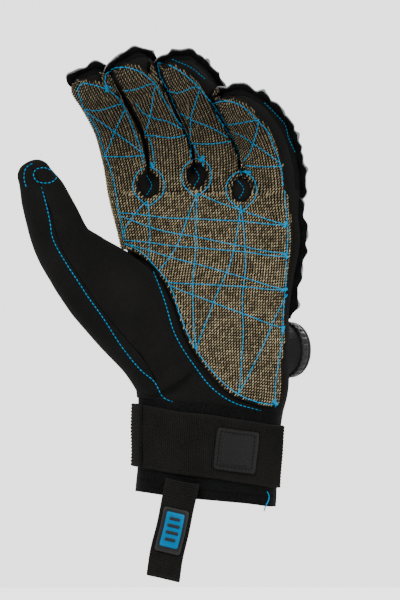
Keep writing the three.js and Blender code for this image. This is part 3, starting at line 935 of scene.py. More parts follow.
@dataclass
class Finishes:
    """Every finish that the glove has, made once."""

    held: dict[str, bpy.types.Material] = field(default_factory=dict)

    def __post_init__(self) -> None:
        """Makes the materials."""
        blue, deep = (0.0, 0.130, 0.245, 1), (0.0, 0.070, 0.140, 1)
        kinds = {
            "loops": Knit(),
            "ground": Yarn("knit_ground", (0.0016, 0.0014, 0.0012, 1), (0.008, 0.006, 0.004, 1), 900.0, 0.03,
                           (1500.0, 0.0004, 0.8)),
            "cut_edge": Yarn("knit_edge", (0.012, 0.011, 0.010, 1), (0.042, 0.038, 0.034, 1), 1400.0, 0.05,
                             (1800.0, 0.0005, 0.9), 0.3),
            "suede": Cloth("suede", 0.0020, 0.0034, 0.04, 2600.0, 0.0002, 0.94, 0.006, 0.010),
            "stretch": Cloth("stretch", 0.0008, 0.0030, 0.0, 1900.0, 0.0002, 0.85, 0.004, 0.010, 0.0009),
            "neoprene": Cloth("neoprene", 0.0006, 0.0036, -0.02, 1500.0, 0.0003, 0.8, 0.004, 0.012),
            # The webbing's ribs share is painted shade between its ribs and painted highlight on them.
            "webbing": Cloth("webbing", 0.0008, 0.0080, 0.05, 2400.0, 0.0002, 0.85, 0.004, 0.012, ribs=0.25),
            "leather": Cloth("leather", 0.0028, 0.0034, 0.0, 2000.0, 0.00018, 0.5, 0.0, 0.05, cells=1500.0),
            # Light grey ply on the seam edges: partly a silver-grey trim, partly painted reflection of the
            # glossy edges.
            "silver": Cloth("silver_trim", 0.07, 0.08, -0.02, 1500.0, 0.0002, 0.45, 0.01, 0.3),
            "blue": Thread("blue_thread", blue, deep),
            "black": Thread("dark_thread", (0.0035, 0.0033, 0.0033, 1), (0.0015, 0.0015, 0.0015, 1)),
            "rubber": Moulded("rubber", (0.0034, 0.0034, 0.0036, 1), (0.010, 0.010, 0.0105, 1), 0.5, 0.10),
            "blue_rubber": Moulded("blue_rubber", (0.0, 0.055, 0.125, 1), (0.0, 0.075, 0.165, 1), 0.45, 0.03),
            "plastic": Moulded("plastic", (0.0022, 0.0022, 0.0024, 1), (0.0055, 0.0055, 0.0055, 1), 0.65,
                               0.03),
            "steel": Moulded("steel", (0.22, 0.225, 0.23, 1), (0.32, 0.32, 0.32, 1), 0.32, 0.5, 1.0),
        }
        self.held = {name: kind.material() for name, kind in kinds.items()}

    def __getitem__(self, name: str) -> bpy.types.Material:
        """The material of that name."""
        return self.held[name]


@dataclass
class Maker:
    """Turns shapes into named pieces that ride on the glove."""

    finishes: Finishes
    made: int = 0

    def piece(self, name: str, shape: Shape, finish: str, replaces: str = "", sharp: float = 40.0,
              body: str = GLOVE_BODY, edges: np.ndarray | None = None) -> None:
        """Makes one piece. What rides on the glove follows the cloth's small unevenness.

        Args:
            name: its name.
            shape: its shape.
            finish: the name of its finish.
            replaces: the CAD node that it stands for.
            sharp: the angle in degrees above which an edge stays sharp.
            body: the body that it rides on.
            edges: one for each face that is a cut edge, else zero.
        """
        mesh = Shape(eased(shape.points) if body == GLOVE_BODY else shape.points, shape.faces).mesh(name, MM)
        mesh.materials.append(self.finishes[finish])
        if edges is not None:
            mesh.materials.append(self.finishes["cut_edge"])
            mesh.polygons.foreach_set("material_index", edges.astype(np.int32))
        mesh.shade_smooth()
        mesh.set_sharp_from_angle(angle=math.radians(sharp))
        obj = linked(name, mesh)
        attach(obj, body)
        if replaces:
            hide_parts(replaces)
        self.made += len(shape.faces)
        LOG.info("%s: %d triangles", name, len(shape.faces))


FINGER_LIMBS = {
    "index": Limb(((-30, 2, 122, 19, 24), (-35.6, -1, 150, 19.5, 23), (-38.5, -6, 165, 20, 22),
                   (-42.5, -15, 179, 19.5, 20), (-49, -27, 191.5, 19, 18), (-55, -38, 199.5, 18, 15)), 14),
    "middle": Limb(((-15, 2, 124, 23, 24), (-16.8, 0, 150, 21.5, 23), (-18, -5, 166, 21, 22),
                    (-21.5, -15, 183, 21.5, 20), (-29, -30, 198, 22, 18), (-36.5, -43, 206, 20, 15)), 12),
    "ring": Limb(((8, 2, 124, 22, 24), (5.2, 1, 150, 21.8, 23), (4.2, -4, 166, 21.5, 22),
                  (1, -14, 183, 20.5, 20), (-6.5, -28, 198, 20.5, 18), (-14, -40, 206.5, 18.5, 15)), 20),
    "little": Limb(((31, 1, 122, 22, 23), (32.8, 0, 148, 24, 23), (31.2, -5, 162, 23.6, 23),
                    (27.6, -13, 175, 22.6, 21), (21.2, -24, 185, 20.5, 18), (15, -33, 190.5, 18, 15)), 30),
}
THUMB = Limb(((-14, -5, 60, 44, 36), (-22.8, -8, 73.5, 44, 35), (-38, -13, 89.8, 43.5, 33),
              (-50.8, -18, 102.8, 40.5, 30), (-61.4, -23, 112.8, 34, 28), (-69.3, -27, 122, 29, 26),
              (-74.7, -32, 136, 25.5, 23), (-79, -35, 147, 22.4, 20), (-82.8, -37, 155.2, 16.4, 16)),
             -22, 2.3, 7.5, sides=64, count=81)
PALM = Limb(((0.6, 1, 34, 70, 48, 8), (1.2, 1, 43.5, 71.5, 47, 7), (1.8, 1, 57, 75.5, 43, 4.5),
             (1.5, 1, 80, 77, 39, 2), (1.5, 1, 102, 79.5, 35, 0), (3.2, 1, 122, 83.4, 31, -1.5),
             (1.2, 0, 145, 85, 27, -3)), 0, 2.6, 15, stacked=True, sides=96, count=73)
KNIT_OUTLINE = ((-42, 120.3), (-34.9, 117.9), (-27.2, 112.5), (-21.8, 105.7), (-17.9, 98.9), (-13.6, 88.3),
                (-9.7, 77.6), (-3.9, 66.4), (3.4, 56.3), (11.6, 49.7), (21.8, 45.6), (32, 44), (35.6, 46),
                (36.6, 63), (38.6, 80), (39, 100), (41, 120), (41.6, 138))


@dataclass(frozen=True)
class KnitEnd:
    """Where the overlay stops short of a finger's end: its edge, and the corners beyond it."""

    edge: Line
    beyond: Line

    def outline(self) -> np.ndarray:
        """The outline of what is left off."""
        return np.concatenate([spread(self.edge, 2.0), self.beyond])


KNIT_ENDS = (
    KnitEnd(((-68.4, 201.3), (-63.5, 202.2), (-56.7, 201.8), (-50, 200.3)),
            ((-50.9, 204.2), (-52.9, 206.6), (-55.8, 213), (-68.4, 213))),
    KnitEnd(((-53.4, 205.6), (-49.5, 209.5), (-39.3, 209.5), (-32.5, 208.1), (-27.6, 204.2)),
            ((-27.2, 209), (-27.9, 222), (-53.4, 222))),
    KnitEnd(((-28.3, 211.5), (-25.2, 212.9), (-19.4, 211.5), (-14.1, 208.6), (-10.2, 206.1), (-4.9, 201.8),
             (-1, 197.4), (1, 194)), ((4.4, 196.4), (16, 202.2), (16, 223), (-28.3, 223))),
    KnitEnd(((1.5, 192.2), (2.9, 193), (9.7, 193.5), (17.5, 191.6), (25.7, 183.8), (30.6, 178), (34.4, 168.8),
             (36.9, 161.5), (38, 151.3), (40.3, 140.2), (41, 137)), ((62, 137), (62, 205), (8, 197.5))),
)


@dataclass(frozen=True)
class Fork:
    """The opening between two fingers: its centre, size, and the slit up from it."""

    x: float
    z: float
    wide: float
    high: float
    slit: Line

    def ring(self, grow: float = 0.0, count: int = 40) -> np.ndarray:
        """The opening's outline, larger by a distance.

        Args:
            grow: the distance.
            count: how many points it has.

        Returns:
            Its points.
        """
        angle = 2 * np.pi * np.arange(count) / count
        return np.stack([self.x + (self.wide / 2 + grow) * np.cos(angle),
                         self.z + (self.high / 2 + grow) * np.sin(angle)], axis=1)

    def gap(self, grow: float = 0.0) -> np.ndarray:
        """The slit's outline, which widens as it goes up.

        Args:
            grow: how much wider each half is.

        Returns:
            Its points.
        """
        line = spread(((self.x, self.z), *self.slit), 3.0)
        half = np.linspace(0.6, 1.3, len(line))[:, None] * np.array([1.0, 0.0]) + np.array([grow, 0.0])
        return np.concatenate([line + half, (line - half)[::-1]])


FORKS = (
    Fork(-28.1, 151.3, 10.2, 12.1, ((-30, 170), (-38.5, 190), (-46, 205))),
    Fork(-4.9, 155.7, 9.7, 11.7, ((-9, 172), (-22, 203), (-26, 212))),
    Fork(17.0, 148.9, 9.7, 11.7, ((14.5, 167), (3, 190), (-3, 202))),
)


@dataclass(frozen=True)
class Fold:
    """A soft crease or ridge on the palm side: its line, width and depth, negative for a crease."""

    line: Line
    width: float
    depth: float


def folded(shape: Shape, folds: tuple[Fold, ...]) -> Shape:
    """Presses folds into the palm side of a shape.

    Args:
        shape: the shape.
        folds: the folds, by x and z.

    Returns:
        The folded shape.
    """
    normals = shape.normals()
    move = np.zeros(len(normals))
    for fold in folds:
        near = distance_to_line(shape.points[:, [0, 2]], spread(fold.line, 2.0))
        move += fold.depth * np.exp(-(near / fold.width) ** 2)
    return Shape(shape.points + normals * (move * np.clip(-normals[:, 1] * 1.6, 0, 1))[:, None], shape.faces)


@dataclass
class HandPanels:
    """The knit, suede, stretch and neoprene panels of the hand."""

    maker: Maker
    bench: Bench
    knit_edge: float = 0.12
    front_seam: float = 0.004
    back_seam: float = -0.6
    palm_seam: float = 0.02
    thumb_seam: float = -0.1
    thumb_left: tuple[float, float] = (-0.76, -0.2)
    wall: float = 2.0
    knit: float = 1.5
    gap: float = 0.3
    reach: float = 1.6
    folds: tuple[Fold, ...] = (
        Fold(((-82, 150), (-78, 134), (-72, 116), (-62, 100), (-53, 88), (-44, 73), (-34, 60)), 1.6, -0.55),
        Fold(((-44, 128), (-40, 112), (-31, 97), (-22, 82)), 3.2, -0.5),
        Fold(((-58, 108), (-47, 103), (-36, 94)), 2.6, -0.45),
        Fold(((-40, 66), (-30, 70), (-20, 78)), 2.8, -0.5),
        Fold(((-32, 54), (-22, 60), (-12, 66)), 2.2, -0.45),
        Fold(((-78, 140), (-72, 137), (-66, 138)), 2.0, -0.4),
    )

    def whole(self, grow: float, voxel: float = 1.0, smooth: int = 6) -> Shape:
        """The whole hand as one solid, larger all round by a distance."""
        others = [(Operation.JOIN, limb.solid(grow)) for limb in (THUMB, *FINGER_LIMBS.values())]
        return self.bench.work(PALM.solid(grow), others, voxel, smooth)

    def joined(self, solids: list[Shape]) -> Shape:
        """Several solids as one."""
        return self.bench.work(solids[0], [(Operation.JOIN, solid) for solid in solids[1:]])

    def kept(self, solid: Shape, *others: Shape) -> Shape:
        """What a solid has in common with others."""
        return self.bench.work(solid, [(Operation.KEEP, other) for other in others])

    def front_region(self, grow: float) -> Shape:
        """The space that the palm-side panels lie in.

        Args:
            grow: how much larger it is all round.

        Returns:
            The solid.
        """
        fingers = [self.kept(limb.solid(self.reach), limb.slab(self.front_seam, 1, grow))
                   for limb in FINGER_LIMBS.values()]
        palm = self.kept(PALM.solid(self.reach), PALM.slab(self.palm_seam, 1, grow, 12))
        thumb = self.kept(THUMB.solid(self.reach),
                          THUMB.slab(self.thumb_seam, 1, grow, 8, left=self.thumb_left))
        return self.joined([palm, thumb, *fingers])

    def side_region(self, name: str, grow: float) -> Shape:
        """The space that one finger's side panel lies in.

        Args:
            name: the finger.
            grow: how much larger it is all round.

        Returns:
            The solid.
        """
        limb = FINGER_LIMBS[name]
        return self.kept(limb.solid(self.reach),
                         limb.slab(self.back_seam, self.front_seam, grow, start=0.2))

    def knit_region(self) -> Shape:
        """The space that the knit overlay lies in.

        Returns:
            The solid.
        """
        grow = self.knit + self.gap + 0.8
        fingers = [self.kept(limb.solid(grow), limb.slab(self.knit_edge, 1))
                   for limb in FINGER_LIMBS.values()]
        palm = self.kept(PALM.solid(grow), PALM.slab(self.knit_edge / 2, 1, 0, 12))
        edge = spread(KNIT_OUTLINE, 3.0)
        outer = np.concatenate([edge, [(70, 142), (70, 240), (-80, 240), (-80, 121)]])
        inner = np.concatenate([edge[1:] + 0.02, [(20, 138.3), (-38, 138.3)]])
        body = self.kept(self.joined([palm, *fingers]), prism(outer, -90, 40))
        return self.joined([body, self.kept(THUMB.solid(grow), prism(inner, -80, 0))])

    def make(self) -> tuple[Shape, Shape]:
        """Makes the panels.

        Returns:
            The knit overlay, and all that the eye sees of the panels, for stitches to sit on.
        """
        bench, cut, keep = self.bench, Operation.CUT, Operation.KEEP
        hand = self.whole(0.0)
        below = Limb(((0.2, 1, 24, 70, 48, 8), (0.6, 1, 34, 70, 48, 8), (1.4, 1, 50, 73, 45, 6)), 0, 2.6, 0,
                     stacked=True, sides=96, count=9)
        hollow = self.joined([PALM.solid(-self.wall), below.solid(-self.wall), THUMB.solid(-self.wall),
                              *(limb.solid(-self.wall) for limb in FINGER_LIMBS.values())])
        above = slanted_band(WRIST_LINE + self.gap, 300, WRIST_TILT)
        front, front_grown = self.front_region(0.0), self.front_region(self.gap)
        sides = {name: self.side_region(name, 0.0) for name in FINGER_LIMBS}
        sides_grown = {name: self.side_region(name, self.gap) for name in FINGER_LIMBS}
        shell = bench.work(hand, [(cut, hollow), (keep, above)])

        suede = folded(bench.work(shell, [(keep, front)]), self.folds)
        self.maker.piece("suede_palm", suede, "suede", "palm_base")
        thumb = bench.work(shell, [(keep, THUMB.solid(self.reach)), (cut, front_grown),
                                   (cut, PALM.solid(self.reach + self.gap))])
        self.maker.piece("suede_thumb", thumb, "suede", "thumb_back")
        seen = [suede, thumb]
        before: list[Shape] = []
        for name in FINGER_LIMBS:
            panel = bench.work(shell, [(keep, sides[name]), (cut, front_grown), (cut, PALM.solid(self.gap)),
                                       *((cut, other) for other in before)])
            before.append(sides_grown[name])
            self.maker.piece(f"{name}_stretch_panel", panel, "stretch", f"{name}_side")
            seen.append(panel)
        backs = self.joined([limb.solid(self.reach) for limb in (PALM, *FINGER_LIMBS.values())])
        back = bench.work(shell, [(keep, backs), (cut, front_grown), *((cut, other) for other in before)])
        self.maker.piece("neoprene_back", back, "neoprene", "back_panel")
        seen.append(back)

        top = self.whole(self.knit + self.gap)
        base = self.whole(self.gap)
        cutters = [(cut, prism(shape, -90, 4)) for fork in FORKS for shape in (fork.ring(), fork.gap())]
        cutters += [(cut, prism(end.outline(), -90, 40)) for end in KNIT_ENDS]
        knit = bench.work(top, [(keep, self.knit_region()), (cut, base), *cutters])
        self.maker.piece("knit_overlay", knit, "ground", "palm_knit", edges=self.edge_faces(knit, top, base))
        return knit, Shape.gathered([knit, *seen])

    def edge_faces(self, knit: Shape, top: Shape, base: Shape) -> np.ndarray:
        """Marks the cut edges of the knit.

        Args:
            knit: the overlay.
            top: the solid that its face follows.
            base: the solid that its underside follows.

        Returns:
            One for each face on a cut edge, else zero.
        """
        centres = knit.points[knit.faces].mean(axis=1)
        marks = np.zeros(len(centres), int)
        near = [tree.find_nearest for tree in (top.tree(), base.tree())]
        for i, centre in enumerate(centres):
            spot = Vector(centre)
            marks[i] = all(find(spot)[3] > 0.06 for find in near)
        return marks


@dataclass
class Loops:
    """The knit's loops, in columns up the palm and each finger."""

    maker: Maker
    knit: Shape
    across: float = 1.34
    along: float = 1.36
    lean: float = 34.0
    wide: float = 0.58
    long: float = 1.66
    high: float = 0.66
    rise: float = 0.12
    fork_line: float = 147.0

    def grid(self, limb: Limb, grow: float, pitch: float,
             low: float) -> tuple[np.ndarray, np.ndarray, np.ndarray]:
        """Places on a limb in columns and rows.

        Args:
            limb: the limb.
            grow: how far out from it.
            pitch: the distance between columns.
            low: the lowest share of its half thickness that is reached.

        Returns:
            The places, the direction along the limb at each, and the direction out of it.
        """
        held, wide, thick, past = limb.rings(grow, 14)
        line = held.centre + held.front * thick[:, None] + held.along * past[:, None]
        run = run_along(line)
        at = np.arange(0.5, run[-1] / self.along) * self.along
        sizes = np.stack([wide, thick, past], axis=1)
        centre, along, side, front, sizes = (
            sampled(at, run, rows) for rows in (held.centre, held.along, held.across, held.front, sizes))
        angle = np.radians(np.linspace(3, 177, 141))
        arc_x, arc_y = squared(np.cos(angle), limb.power), squared(np.sin(angle), limb.power)
        places, ways, outs = [], [], []
        for i in range(len(at)):
            x, y = sizes[i, 0] * arc_x, sizes[i, 1] * arc_y
            length = np.concatenate([[0], np.cumsum(np.hypot(np.diff(x), np.diff(y)))])
            half = len(length) // 2
            middle = length[half]
            ends = np.interp([low], arc_y[:half], length[:half])[0]
            reach = int((middle - ends) / pitch)
            s = middle + np.arange(-reach, reach + 1) * pitch
            px, py = np.interp(s, length, x), np.interp(s, length, y)
            places.append(centre[i] + side[i] * px[:, None] + front[i] * py[:, None] + along[i] * sizes[i, 2])
            ways.append(np.tile(along[i], (len(s), 1)))
            bow = np.stack([px / sizes[i, 0] ** 2, py / sizes[i, 1] ** 2], axis=1)
            outs.append(unit(side[i] * bow[:, :1] + front[i] * bow[:, 1:]))
        return np.concatenate(places), np.concatenate(ways), np.concatenate(outs)

    def seat(self, tree: BVHTree, place: np.ndarray, out: np.ndarray) -> tuple[Vector, Vector] | None:
        """The place on the knit's face under a place.

        Args:
            tree: a search tree of the knit.
            place: the place.
            out: the direction out of the limb there.

        Returns:
            The place on the face and the direction out of it, or nothing.
        """
        way = Vector(out)
        for away in (1.4, 4.0, 8.0):
            spot, normal, _, far = tree.ray_cast(Vector(place) + way * away, -way, away + 3.0)
            if spot is not None and normal.dot(way) > 0.2 and far > 0.02:
                return spot, normal
        return None

    def bodies(self, at: np.ndarray, way: np.ndarray, out: np.ndarray, rng: np.random.Generator) -> Shape:
        """Loop bodies at places: slanting rounded strokes.

        Args:
            at: their middles.
            way: the direction of the columns.
            out: the direction out of the cloth.
            rng: random numbers.

        Returns:
            All of them as one shape.
        """
        way = unit(way - out * np.einsum("ij,ij->i", way, out)[:, None])
        side = np.cross(way, out)
        lean = np.radians(self.lean + rng.normal(0, 9, len(at)))[:, None]
        long_way = way * np.cos(lean) + side * np.sin(lean)
        cross_way = side * np.cos(lean) - way * np.sin(lean)
        size = 1 + rng.normal(0, 0.07, (len(at), 1))
        ring = 2 * np.pi * (np.arange(6) + 0.25) / 6
        shape = np.array([(step, swell * math.cos(a), swell * math.sin(a))
                          for step, swell in ((-0.62, 0.76), (0.0, 1.0), (0.62, 0.76)) for a in ring]
                         + [(-1.0, 0.0, -0.25), (1.0, 0.0, -0.25)])
        half = np.array([self.long / 2, self.wide / 2, self.high / 2])
        points = at[:, None] + size[:, None] * (
            long_way[:, None] * (shape[:, 0] * half[0])[None, :, None]
            + cross_way[:, None] * (shape[:, 1] * half[1])[None, :, None]
            + out[:, None] * (shape[:, 2] * half[2])[None, :, None]
        )
        return copies(points, tube_faces(3, 6))

    def make(self) -> None:
        """Makes the palm's loops and the fingers' loops."""
        rng = np.random.default_rng(11)
        tree = self.knit.tree()
        edge = spread(KNIT_OUTLINE, 3.0)
        outline = np.concatenate([edge, [(60, 150), (60, 230), (-70, 230), (-70, 121)]])
        groups = {"palm": [self.grid(PALM, 1.8, self.across, 0.10)], "finger": []}
        groups["palm"].append(self.grid(THUMB, 1.8, self.across, 0.10))
        for limb in FINGER_LIMBS.values():
            groups["finger"].append(self.grid(limb, 1.8, self.across + 0.1, 0.20))
        for name, grids in groups.items():
            kept = []
            for number, (places, ways, outs) in enumerate(grids):
                flat = places[:, [0, 2]]
                good = inside(flat, outline) & (distance_to_line(flat, edge) > 0.8)
                above = places[:, 2] - self.fork_line
                good &= (above < 1.0) if name == "palm" else (above > -1.0)
                for fork in FORKS:
                    good &= ~inside(flat, fork.ring(0.4)) & ~inside(flat, fork.gap(0.45))
                for end in KNIT_ENDS:
                    clear = distance_to_line(flat, spread(end.edge, 2.0)) > 0.7
                    good &= ~inside(flat, end.outline()) & clear
                thenar = name == "palm" and number == 1
                for place, way, out in zip(places[good], ways[good], outs[good]):
                    seat = self.seat(tree, place, out)
                    if seat and seat[1].y < 0.45 and (not thenar or (seat[0] - Vector(place)).length < 0.5):
                        kept.append((*seat[0], *seat[1], *((0.03, 0, 1) if thenar else way)))
            rows = np.array(kept)
            if name == "palm":
                rows = rows[self.apart(rows[:, :3])]
                border = rows[rows[:, 2] > self.fork_line - 4, :3]
            else:
                near = np.linalg.norm(rows[:, None, :3] - border[None], axis=2).min(axis=1)
                rows = rows[near > 0.6]
            at, out, way = rows[:, :3], rows[:, 3:6], rows[:, 6:]
            loops = self.bodies(at + out * self.rise, way, out, rng)
            self.maker.piece(f"{name}_knit_loops", loops, "loops", sharp=180.0)

    def apart(self, places: np.ndarray) -> np.ndarray:
        """Which places stay when those too near an earlier one go.

        Args:
            places: the places.

        Returns:
            Whether each stays.
        """
        cell = self.across * 0.7
        taken: set[tuple[int, int, int]] = set()
        keep = np.zeros(len(places), bool)
        for i, place in enumerate(places):
            x, y, z = (int(v // cell) for v in place)
            keep[i] = not any((x, y + step, z) in taken for step in (-1, 0, 1))
            taken.add((x, y, z))
        return keep


@dataclass
class SeamEdges:
    """The raised seam edges: two plies sewn together that stand up in waves."""

    maker: Maker
    high: float = 3.3
    ply: float = 0.85
    finger_share: float = -0.6
    palm_share: float = 0.02
    starts: dict[str, float] = field(default_factory=lambda: {
        "index": 0.74, "middle": 0.55, "ring": 0.52, "little": 0.16,
    })

    def path(self, limb: Limb, share: float, start: float) -> tuple[np.ndarray, np.ndarray, np.ndarray]:
        """The seam from one side of a limb round its tip to the other.

        Args:
            limb: the limb.
            share: where it lies, as a share of the half thickness.
            start: the share of the way along at which it starts.

        Returns:
            Points on the surface, the directions out of it and those to the front.
        """
        held, wide, thick, past = limb.rings(0.0, 26)
        keep = held.share >= start
        level = share * held.half_thick
        squeeze = np.clip(np.abs(level) / np.maximum(thick, 1e-6), 0, 1)
        reach = wide * (1 - squeeze**limb.power) ** (1 / limb.power)
        keep &= reach > 0.4
        out = []
        for side in (1, -1):
            out.append(held.centre + held.across * (side * reach)[:, None]
                       + held.front * level[:, None] + held.along * past[:, None])
        right, left = out[0][keep], out[1][keep][::-1]
        line = np.concatenate([right, left])
        front = np.concatenate([held.front[keep], held.front[keep][::-1]])
        ahead = unit(np.gradient(line, axis=0))
        outward = unit(np.cross(front, ahead))
        middle = held.centre[keep].mean(0)
        if np.einsum("ij,ij->i", outward, line - middle).mean() < 0:
            outward = -outward
        return line, outward, front

    def edge(self, name: str, line: np.ndarray, outward: np.ndarray, front: np.ndarray, replaces: str,
             seed: float) -> Shape:
        """Makes one raised edge, a dark ply with a light grey ply behind it, partly silver-grey trim and
        partly painted reflection of the glossy edge.

        Args:
            name: its name.
            line: points on the surface.
            outward: directions out of the surface.
            front: directions to the palm side.
            replaces: the CAD node that it stands for.
            seed: shifts its waves.

        Returns:
            The dark ply.
        """
        run = run_along(line)
        at = np.arange(0, run[-1], 0.9)
        line, outward, front = (sampled(at, run, rows) for rows in (line, outward, front))
        outward, front = unit(outward), unit(front)
        ends = np.clip(np.minimum(at, at[-1] - at) / 5.0, 0.15, 1) ** 0.6
        wave = np.sin(2 * np.pi * at / 12.4 + seed) + 0.45 * np.sin(2 * np.pi * at / 6.7 + 2.1 * seed)
        sway = np.sin(2 * np.pi * at / 11.0 + 1.7 * seed) + 0.5 * np.sin(2 * np.pi * at / 5.9 + seed)
        high = (self.high + 0.62 * wave) * ends
        levels = np.array([-0.8, 0.4, 1.4, 2.4, 3.0, 3.3])
        swell = np.array([0.75, 0.9, 1.0, 1.0, 0.8, 0.45])

        def ply(offset: float, short: np.ndarray) -> Shape:
            """One ply, at an offset to the front and a little shorter."""
            rings = []
            for side in (1, -1):
                for level, thick in (zip(levels, swell) if side == 1 else zip(levels[::-1], swell[::-1])):
                    out = np.where(level > 0, level / levels[-1] * (high - short), level)
                    lean = 0.42 * sway * np.clip(out, 0, 9) / self.high * 1.6
                    rings.append(line + outward * out[:, None]
                                 + front * (offset + lean + side * thick * self.ply / 2)[:, None])
            return loft(np.stack(rings, axis=1))

        dark = ply(self.ply * 0.52, 0.0 * at)
        peeks = 0.05 + 0.95 * np.clip(np.sin(2 * np.pi * at / 17.0 + 1.3 * seed), 0, 1) ** 2
        self.maker.piece(f"{name}_seam", dark, "neoprene", replaces)
        # The back ply peeks out in waves with its light grey: partly trim, partly painted reflection.
        self.maker.piece(f"{name}_silver_ply", ply(-self.ply * 0.52, -peeks * ends), "silver")
        return dark

    def make(self) -> list[Shape]:
        """Makes the edges of the fingers and of the hand's outer side.

        Returns:
            Their dark plies.
        """
        made = []
        for i, (name, limb) in enumerate(FINGER_LIMBS.items()):
            line, outward, front = self.path(limb, self.finger_share, self.starts[name])
            made.append(self.edge(name, line, outward, front, f"{name}_seam_edge", 0.9 + 1.7 * i))
        held = PALM.sections()
        keep = (held.centre[:, 2] > 86) & (held.centre[:, 2] < 149)
        level = self.palm_share * held.half_thick
        line = held.centre + held.across * held.half_wide[:, None] + held.front * level[:, None]
        made.append(self.edge("outer_side", line[keep], held.across[keep], held.front[keep],
                              "side_seam_edge", 4.2))
        return made


class Dash(Enum):
    """How a run of stitches looks: dash length, gap, thread radius and how far it stands up."""

    ON_KNIT = (2.4, 0.22, 0.32, 0.52)
    ON_SUEDE = (1.3, 0.7, 0.26, 0.12)
    FINE = (1.0, 0.65, 0.20, 0.05)


